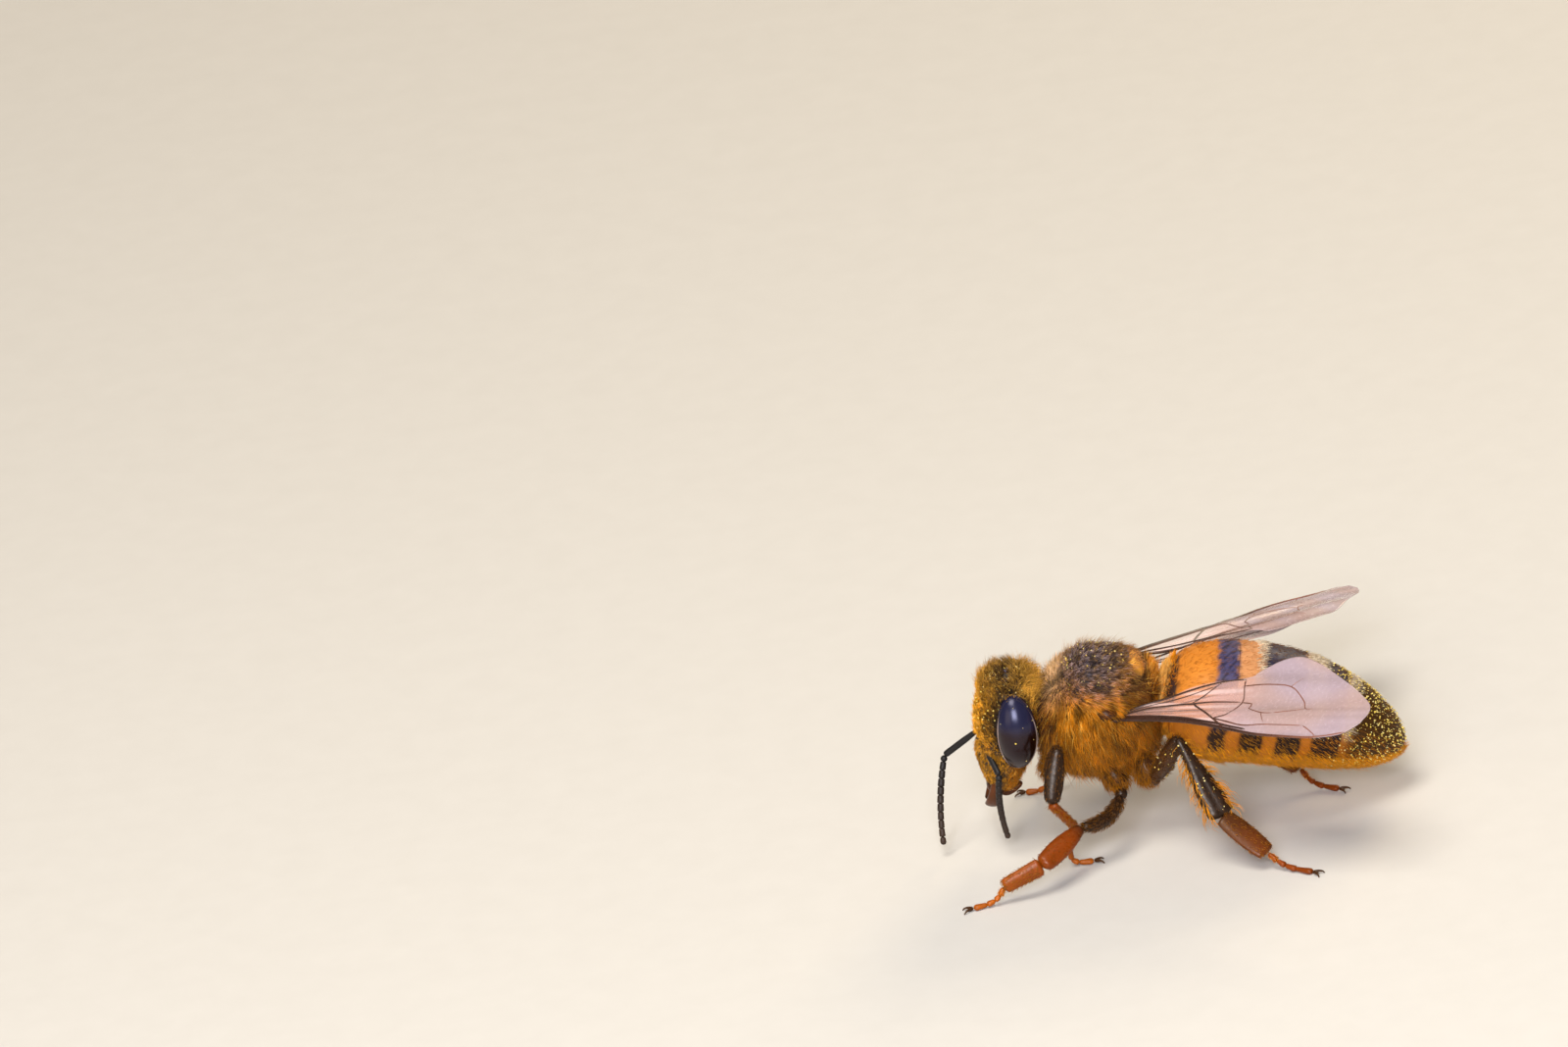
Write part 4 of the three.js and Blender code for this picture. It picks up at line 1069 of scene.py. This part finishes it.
def gather(sown, each, pull, dim, bright):
    """Leans the hairs towards the tip of the nearest of a few, as fur hangs in locks, and shades each."""
    count = len(sown["root"])
    leaders = rng.choice(count, count // each, replace=False)
    tree = kdtree.KDTree(len(leaders))
    for k, leader in enumerate(leaders):
        tree.insert(sown["root"][leader], k)
    tree.balance()
    lock = np.array([tree.find(root)[1] for root in sown["root"]])
    sown["pull"] = (sown["root"][leaders[lock]] - sown["root"]) * pull
    sown["shade"] = rng.uniform(dim, bright, len(leaders))[lock][:, None]


def strands(sown, length, thick, rise, curl, root_tint, tip_tint, corner=(0, 0), size=(1, 1)):
    """Points, colours and unwrap places of the hairs sown on one skin."""
    count = len(sown["root"])
    full = lambda value: np.broadcast_to(np.asarray(value, float), (count,))[:, None]
    loose = (rng.random((count, 1)) < LOOSE_SHARE) * 1.0
    length = full(length) * rng.uniform(0.7, 1.15, (count, 1)) * (1 + LOOSE_LONGER * loose)
    thick = full(thick) * rng.uniform(0.75, 1.2, (count, 1)) * (1 - LOOSE_THINNER * loose)
    rise = np.radians(full(rise) + LOOSE_RISE * loose) + rng.normal(0, 0.14, (count, 1))
    pull = sown.get("pull", 0)
    out, lie = sown["out"], sown["lie"]
    side = np.cross(out, lie)
    early, late = (np.cos(angle) * lie + np.sin(angle) * out for angle in (rise, rise * curl))
    foot = sown["root"] - ROOT_DEPTH * out
    bend = sown["root"] + early * length * 0.5 + 0.35 * pull
    points = np.empty((count, 2 * STRAND_SIDES + 1, 3))
    levels = ((foot, early, thick), (bend, unit(early + late), thick * BEND_TAPER))
    for ring, (centre, way, width) in enumerate(levels):
        other = np.cross(way, side)
        for k, a in enumerate(circle(STRAND_SIDES)):
            points[:, ring * STRAND_SIDES + k] = centre + width * (side * np.cos(a) + other * np.sin(a))
    points[:, -1] = bend + late * length * 0.5 + 0.65 * pull
    shade = rng.uniform(0.75, 1.25, (count, 1)) * sown.get("shade", 1)
    # Each hair fades from its root colour to its tip colour; darker roots are painted shade deep in the coat.
    root_tint, tip_tint = (np.broadcast_to(tint, (count, 3)) for tint in (root_tint, tip_tint))
    tints = np.empty(points.shape)
    tints[:, :STRAND_SIDES] = (root_tint * shade)[:, None]
    tints[:, STRAND_SIDES:-1] = ((root_tint + tip_tint) / 2 * shade)[:, None]
    tints[:, -1] = tip_tint * shade
    return points, tints, np.asarray(corner) + sown["place"] * np.asarray(size)


STRAND_FACES, STRAND_PLACES = [(2, 1, 0)], [((0.66, 0), (0.33, 0), (0, 0.02))]
for k in range(STRAND_SIDES):
    after = (k + 1) % STRAND_SIDES
    left, right = k / STRAND_SIDES, (k + 1) / STRAND_SIDES
    STRAND_FACES += [(k, after, 3 + after), (k, 3 + after, 3 + k), (3 + k, 3 + after, 6)]
    STRAND_PLACES += [((left, 0), (right, 0), (right, 0.5)), ((left, 0), (right, 0.5), (left, 0.5)),
                      ((left, 0.5), (right, 0.5), ((left + right) / 2, 1))]


def coat_piece(name, *parts):
    """Joins sown hairs into one mesh, with a patch for each on the OFBake unwrap."""
    points, tints, places = (np.concatenate(field) for field in zip(*parts))
    count, each, _ = points.shape
    faces = np.asarray(STRAND_FACES)[None] + (np.arange(count) * each)[:, None, None]
    unwrap = places[:, None, None] * (1 - 2 * PATCH) + PATCH + (np.asarray(STRAND_PLACES)[None] - 0.5) * PATCH
    mesh = bpy.data.meshes.new(name)
    mesh.vertices.add(count * each)
    mesh.vertices.foreach_set("co", points.ravel())
    mesh.loops.add(faces.size)
    mesh.loops.foreach_set("vertex_index", faces.ravel().astype(np.int32))
    mesh.polygons.add(faces.size // 3)
    mesh.polygons.foreach_set("loop_start", np.arange(0, faces.size, 3, dtype=np.int32))
    mesh.update(calc_edges=True)
    mesh.shade_smooth()
    piece = tinted(mesh, (tints / np.maximum(tints.max(axis=2, keepdims=True), 1)).reshape(-1, 3))
    mesh.uv_layers.new(name="OFBake").data.foreach_set("uv", unwrap.ravel())
    settle(piece, name, COAT_HAIR, "coat")


def hair_finish():
    """Fine shining hair, with a faint soft sheen."""
    finish, nodes, links, shader = material(
        "coat_hair", Roughness=0.5, Specular_IOR_Level=0.16, Specular_Tint=(1.0, 0.8, 0.5, 1),
        Sheen_Weight=0.06, Sheen_Roughness=0.4, Sheen_Tint=(1.0, 0.85, 0.6, 1))
    mottled(nodes, links, shader, 2600, 0.8, 1.25)
    return finish


def clear_of(points, spots):
    """1 outside the given ellipsoids and 0 inside them."""
    keep = np.ones(points.shape[:-1])
    for centre, half in spots:
        keep = keep * (np.linalg.norm((points - centre) / np.asarray(half), axis=-1) > 1)
    return keep


def thorax_zones(p):
    """How much of each kind of coat grows at a point: worn back, collar and side."""
    x, y, z = p[..., 0], p[..., 1], p[..., 2]
    worn = np.exp(-(((x + 0.1) / 1.25) ** 2 + (y / 1.55) ** 2) ** 3) * smooth(z, 0.75, 1.15)
    return worn, smooth(x, 0.7, 1.05) * smooth(z, 0.5, 1.1), 1 - smooth(z, 0.4, 1.1)


def thorax_weight(p):
    worn, collar, side = thorax_zones(p)
    links = (np.abs(p[..., 0] + 0.2) < 1.62) * 1.0
    return (1 - 0.25 * worn) * (0.7 + 0.3 * side + 0.2 * collar) * links * clear_of(p, OPEN_SPOTS)


def thorax_strands(count, within):
    sown = sow(thorax_grid, count, lambda p: thorax_weight(p) * within(p))
    p = sown["root"]
    x, y, z = p.T
    worn, collar, side = thorax_zones(p)
    down = -0.25 - 1.3 * side + 1.2 * smooth(-x, 1.25, 1.6)
    comb(sown, np.stack([-1 + 0.35 * side, 0.15 * np.sign(y), down], axis=1), stray=0.2)
    gather(sown, each=22, pull=0.85, dim=0.24, bright=1.8)
    length = 0.66 - 0.48 * worn + 0.18 * side + 0.04 * collar
    rise = 58 - 22 * side + 14 * collar - 20 * worn
    # Dark roots stand for painted shade deep in the coat.
    root = mixed(mixed(SIDE_ROOT_SHADE, HAIR_DARK, worn), COLLAR_PALE * 0.6, collar)
    # The fine back hairs are umber and grey; their lilac tint is a painted reflection of the sky.
    fine = mixed(BACK_UMBER_SKY_SHEEN, BACK_GREY_SKY_SHEEN, rng.random(count) < 0.5)
    fine = mixed(fine, BACK_AMBER, smooth(-x, 0.2, 0.9) * (rng.random(count) < 0.6))
    tip = mixed(mixed(SIDE_GOLD, fine, worn), COLLAR_PALE, collar)
    dark_tuft = between(-x, 0.9, 1.2, 1.5, 1.65) * between(z, 0.5, 0.8, 1.45, 1.7)
    root, tip = mixed(root, HAIR_DARK, dark_tuft * 0.8), mixed(tip, HAIR_DARK, dark_tuft * 0.7)
    shaded = smooth(x, 0.7, 1.05) * between(z, -0.3, 0.1, 0.75, 1.05)
    tip = mixed(tip, SIDE_ROOT_SHADE * 2.5, shaded * (rng.random(count) < 0.65))
    speck = rng.random(count) < 0.14 * (1 - worn) * (1 - 0.6 * shaded)
    tip = np.where(speck[:, None], SIDE_BRIGHT, tip)
    patchy = (0.9 + 0.4 * (1 - worn) * (1 - collar) * wavy(p, 0.34, 31))[:, None]
    thick = 0.0115 - 0.004 * worn + 0.001 * side
    return strands(sown, length, thick, rise, 0.45, root * patchy, tip * patchy)


COAT_HAIR = hair_finish()
for part, (count, within) in COAT_PARTS.items():
    coat_piece(f"thorax_coat_{part}", thorax_strands(count, within))

# A few long fine hairs stand over the worn back, and down covers the tan cushion behind it.
shield_turn = np.linspace(0.06, np.pi - 0.06, 24)[:, None]
shield_lap = circle(40)[None, :]
shield_ball = np.stack([np.sin(shield_turn) * np.cos(shield_lap), np.cos(shield_turn) + 0 * shield_lap,
                        np.sin(shield_turn) * np.sin(shield_lap)], axis=-1)
shield_lean = np.array(Matrix.Rotation(SCUTELLUM_LEAN, 3, "Y")).T
shield_grid = (shield_ball * SCUTELLUM_HALF) @ shield_lean + SCUTELLUM_AT
down = sow(thorax_grid, DOWN_HAIRS, lambda p: smooth(p[..., 2], 0.9, 1.3) * (np.abs(p[..., 0] + 0.1) < 1.5))
comb(down, (-1, 0, 0), stray=0.5)
# The long hairs' roots carry the same painted lilac sky tint.
long_down = strands(down, 0.42, 0.005, 64, 0.55, BACK_UMBER_SKY_SHEEN, LONG_AMBER)
fuzz = sow(shield_grid, FUZZ_HAIRS, lambda p: smooth(p[..., 2], 1.2, 1.5))
comb(fuzz, (-1, 0, -0.3), stray=0.35)
coat_piece("back_down", long_down)
coat_piece("scutellum_down", strands(fuzz, 0.2, 0.006, 40, 0.4, SIDE_GOLD, COLLAR_PALE))

# ---------------------------------------------------------------- coat of the head
# The face and crown are covered with short hair, orange-gold on the face, black in a tuft on the crown,
# and laid flat and golden behind the eyes.
FACE_GOLD = (0.90, 0.40, 0.02)
FACE_ROOT_SHADE = (0.12, 0.034, 0.002)
CROWN_OLIVE = (0.92, 0.47, 0.06)
HEAD_HAIRS = 16000
EYE_CLEAR, SOCKET_CLEAR = (0.6, 0.6, 1.16), (0.3, 0.16, 0.16)
eye_spots = [((EYE_AT[0], sign * EYE_AT[1], EYE_AT[2]), EYE_CLEAR) for sign in SIDES.values()]
socket_spots = [((SOCKET[0], sign * SOCKET[1], SOCKET[2]), SOCKET_CLEAR) for sign in SIDES.values()]


def head_weight(p):
    mouth = smooth(p[..., 2], -2.5, -2.3)
    nape = smooth(p[..., 0], 1.65, 1.95)
    return clear_of(p, eye_spots + bead_spots + socket_spots) * (0.15 + 0.85 * mouth) * (0.3 + 0.7 * nape)


def head_strands(count):
    sown = sow(head_grid, count, head_weight)
    x, y, z = sown["root"].T
    out = sown["out"][:, 0]
    face, rear = smooth(out, 0.2, 0.6), smooth(-out, 0.0, 0.4)
    crown, high = smooth(z, 0.4, 0.85), smooth(z, 0.0, 0.6)
    muzzle = 1 - smooth(z, -1.5, -0.5)
    way = np.stack([0.4 - 1.4 * rear, 0.5 * y, 0.9 - 2.2 * (1 - smooth(z, -1.3, -0.6))], axis=1)
    comb(sown, way)
    gather(sown, each=7, pull=0.5, dim=0.35, bright=1.6)
    length = 0.23 + 0.2 * crown + (0.06 + 0.14 * high) * rear - 0.09 * muzzle * (1 - rear)
    length = length + 0.06 * smooth(z, 0.2, 0.7) * face
    rise = 48 + 22 * crown - 10 * rear * (1 - high) - 16 * muzzle
    orbit = smooth(np.abs(y), 0.5, 1.35) * smooth(z, -1.4, 0.2) * (1 - rear)
    dark = np.maximum(smooth(z, 0.55, 0.9) * (1 - 0.3 * face), orbit)
    tip = mixed(FACE_GOLD, HAIR_DARK, dark * 0.9)
    tip = mixed(tip, mixed(SIDE_GOLD, CROWN_OLIVE, high), rear * (1 - 0.45 * orbit))
    for colour, share in ((SIDE_BRIGHT, 0.2 * (1 - dark)), (CROWN_OLIVE, 0.28 * crown)):
        tip = np.where((rng.random(count) < share)[:, None], colour, tip)
    thick = 0.0105 - 0.003 * muzzle - 0.003 * crown
    # The dark roots are painted shade deep in the coat.
    return strands(sown, length, thick, rise, 0.5, mixed(FACE_ROOT_SHADE, HAIR_DARK, dark), tip)


coat_piece("head_coat", head_strands(HEAD_HAIRS))

# ---------------------------------------------------------------- coat of the abdomen
# Short hair lies back along the plates, so thin on the orange ones that they shine through. The first ring
# is furry, the bases of the next ones carry pale felt, and golden fringes hang along the belly.
FELT_PALE = (0.84, 0.70, 0.50)
BELLY_GOLD = (0.86, 0.35, 0.014)
PLATE_HAIRS = ((1, 2300, BELLY_GOLD), (2, 2800, BELLY_GOLD), (3, 2200, SIDE_GOLD), (4, 1500, SIDE_GOLD),
               (5, 1000, SIDE_GOLD))
FELT_HAIRS = ((2, 4.72, 4.98, 600), (3, 6.3, 6.85, 2400), (4, 7.6, 7.9, 500))
FRINGE_HAIRS = (600, 1700, 2000, 1500, 1200, 900)
COAT_ROWS = 12


def abdomen_strands(i, count, length, tips, rise, weight, row=0, own=1.0, thick=0.0105, fade=0.0):
    """Hair on one ring, of the given colour or, by a share, of the marking that it grows from."""
    sown = sow(ring_grids[i][2 if i else 0:-3 if i < 5 else None], count, weight)
    height = ring_place(sown["root"])[1]
    flank = 1 - smooth(np.abs(height + 0.2), 0.3, 0.7)
    comb(sown, np.stack([-1 + 0 * flank, 0 * flank, -0.1 - 0.6 * flank], axis=1), stray=0.12, lock=0.15)
    tips = mixed(abdomen_colour(sown["root"]), tips, own * (1 - fade * smooth(height, 0, 0.4)))
    return strands(sown, length, thick, rise, 0.5, tips * 0.8, tips, (0, row / COAT_ROWS), (1, 1 / COAT_ROWS))


def anywhere(p):
    return 1


def belly(p):
    return 1 - smooth(ring_place(p)[1], -0.55, -0.25)


def felt_at(start, end):
    def weight(p):
        x, rise = ring_place(p)
        band = between(x, start - 0.05, start + 0.05, end - 0.12, end + 0.12)
        return band * smooth(rise, -0.1, 0.35) + 0.0005
    return weight


parts = [abdomen_strands(0, 2400, 0.25, LONG_AMBER * 1.35, 50, felt_at(1.9, 2.15), thick=0.010),
         abdomen_strands(0, 900, 0.24, SIDE_GOLD, 40, anywhere, thick=0.010)]
for i, count, tint in PLATE_HAIRS:
    parts.append(abdomen_strands(i, count, 0.2, tint, 12, anywhere, i, 0.75, 0.007, 0.75))
for i, start, end, count in FELT_HAIRS:
    parts.append(abdomen_strands(i, count, 0.22, FELT_PALE, 20, felt_at(start, end), 5 + i))
coat_piece("abdomen_coat", *parts)
coat_piece("belly_fringe", *(abdomen_strands(i, count, 0.28, BELLY_GOLD, 28, belly, i, 1.0, 0.0085)
                             for i, count in enumerate(FRINGE_HAIRS)))

# ---------------------------------------------------------------- coat of the legs
# Hips and thighs are furry, shins and feet only downy. Long curved hairs stand round the hollow of the hind
# shin and make its pollen basket.
LEG_HAIR = {  # how many, length, angle and colour
    "coxa": (800, 0.32, 34, SIDE_GOLD * 0.5),
    "femur": (600, 0.18, 26, SIDE_GOLD * 0.22),
    "tibia": (180, 0.1, 20, SIDE_GOLD * 0.3),
    "basitarsus": (320, 0.12, 24, SIDE_GOLD * 0.5),
    "toes": (60, 0.09, 26, SIDE_GOLD),
}
LEG_PATCH = (0.19, 0.32)
BASKET_HAIRS = 520
for side in SIDES:
    parts = []
    for row, kind in enumerate(LEG_KINDS):
        for column, (part, (count, length, rise, tint)) in enumerate(LEG_HAIR.items()):
            sown = sow(leg_grids[f"{kind}_{side}"][part], count)
            comb(sown, sown["ringward"], stray=0.2, lock=0.15)
            parts.append(strands(sown, length, 0.01, rise, 0.5, tint * 0.5, tint, (column / 5, row / 3),
                                 LEG_PATCH))
    basket = leg_grids[f"hind_{side}"]["tibia"]
    edges = sow(basket, BASKET_HAIRS)
    centre = basket.mean(axis=1)
    down_shin = edges["place"][:, 1]
    nearest = np.clip((down_shin * len(centre)).astype(int), 0, len(centre) - 1)
    outermost = np.linalg.norm(edges["root"] - centre[nearest], axis=1)
    keep = outermost > 0.72 * outermost.max() * np.interp(down_shin, [0, 0.8, 1], [0.4, 1, 1])
    edges = {k: v[keep] for k, v in edges.items()}
    comb(edges, edges["ringward"], stray=0.12, lock=0.1)
    parts.append(strands(edges, 0.55, 0.013, 48, 0.3, SIDE_GOLD * 0.7, BELLY_GOLD, (0.4, 0.67), LEG_PATCH))
    coat_piece(f"leg_hair_{side}", *parts)

# ---------------------------------------------------------------- pollen
# Yellow grains a thirtieth of a millimetre across cling to the hair of the face and back and lie thick on
# the last rings of the abdomen. They are loose, and held only by the hair.
POLLEN_YELLOW = (1.0, 0.72, 0.10)
POLLEN_CREAM = (1.0, 0.84, 0.36)
GRAIN_HALF, GRAIN_MORE = 0.011, 0.02
TAIL_GRAINS, EYE_GRAINS, HEAD_GRAINS, BACK_GRAINS, SHIN_GRAINS = 1900, 44, 190, 260, 40


def pollen_finish():
    finish, nodes, links, shader = material("pollen", Roughness=0.6)
    links.new(mesh_tint(nodes).outputs["Color"], shader.inputs["Base Color"])
    bumped(nodes, links, shader, noise(nodes, links, 40000, 2), 0.4, 4e-6)
    return finish


POLLEN = pollen_finish()
bpy.ops.mesh.primitive_ico_sphere_add(subdivisions=1, radius=1)
grain = bpy.context.object
GRAIN_POINTS = points_of(grain.data)
GRAIN_FACES = np.array([p.vertices[:] for p in grain.data.polygons])
bpy.data.objects.remove(grain)


def dusting(name, *sowings):
    """Joins grains that lie on sown places, each a little off the skin."""
    spots = np.concatenate([sown["root"] + sown["out"] * rng.uniform(low, high, (len(sown["root"]), 1))
                            for sown, low, high in sowings])
    count, each = len(spots), len(GRAIN_POINTS)
    size = GRAIN_HALF + GRAIN_MORE * rng.random((count, 1, 1)) ** 1.6
    points = spots[:, None] + GRAIN_POINTS[None] * size
    faces = (GRAIN_FACES[None] + each * np.arange(count)[:, None, None]).reshape(-1, 3).tolist()
    pale = mixed(POLLEN_YELLOW, POLLEN_CREAM, rng.random(count) ** 2)
    tint = np.repeat(pale * rng.uniform(0.75, 1.1, (count, 1)), each, axis=0)
    settle(meshed(points.reshape(-1, 3), faces, np.clip(tint, 0, 1)), name, POLLEN, "amber")


def on_tail(p):
    return smooth(-p[..., 0], 6.9, 8.2) * smooth(p[..., 2], -2.4, -1.2) + 0.02 * smooth(-p[..., 0], 4, 6)


def on_crown(p):
    return clear_of(p, eye_spots) * smooth(p[..., 2], -0.6, 0.6)


def on_back(p):
    return thorax_weight(p) * smooth(p[..., 2], 0.6, 1.4)


dusting("tail_pollen", (sow(np.concatenate(ring_grids[3:]), TAIL_GRAINS, on_tail), 0.0, 0.08))
eye_faces = np.array(eye_faces)
lit = rng.choice(len(eye_faces), EYE_GRAINS, replace=False, p=eye_faces[:, 6] / eye_faces[:, 6].sum())
dusting("eye_pollen", ({"root": eye_faces[lit, :3], "out": eye_faces[lit, 3:6]}, 0.002, 0.008))
dusting("back_pollen", (sow(head_grid, HEAD_GRAINS, on_crown), 0.05, 0.2),
        (sow(thorax_grid, BACK_GRAINS, on_back), 0.03, 0.14))
dusting("leg_pollen", *[(sow(leg_grids[f"hind_{side}"][part], SHIN_GRAINS), 0.0, 0.06)
                        for side in SIDES for part in ("tibia", "femur")])
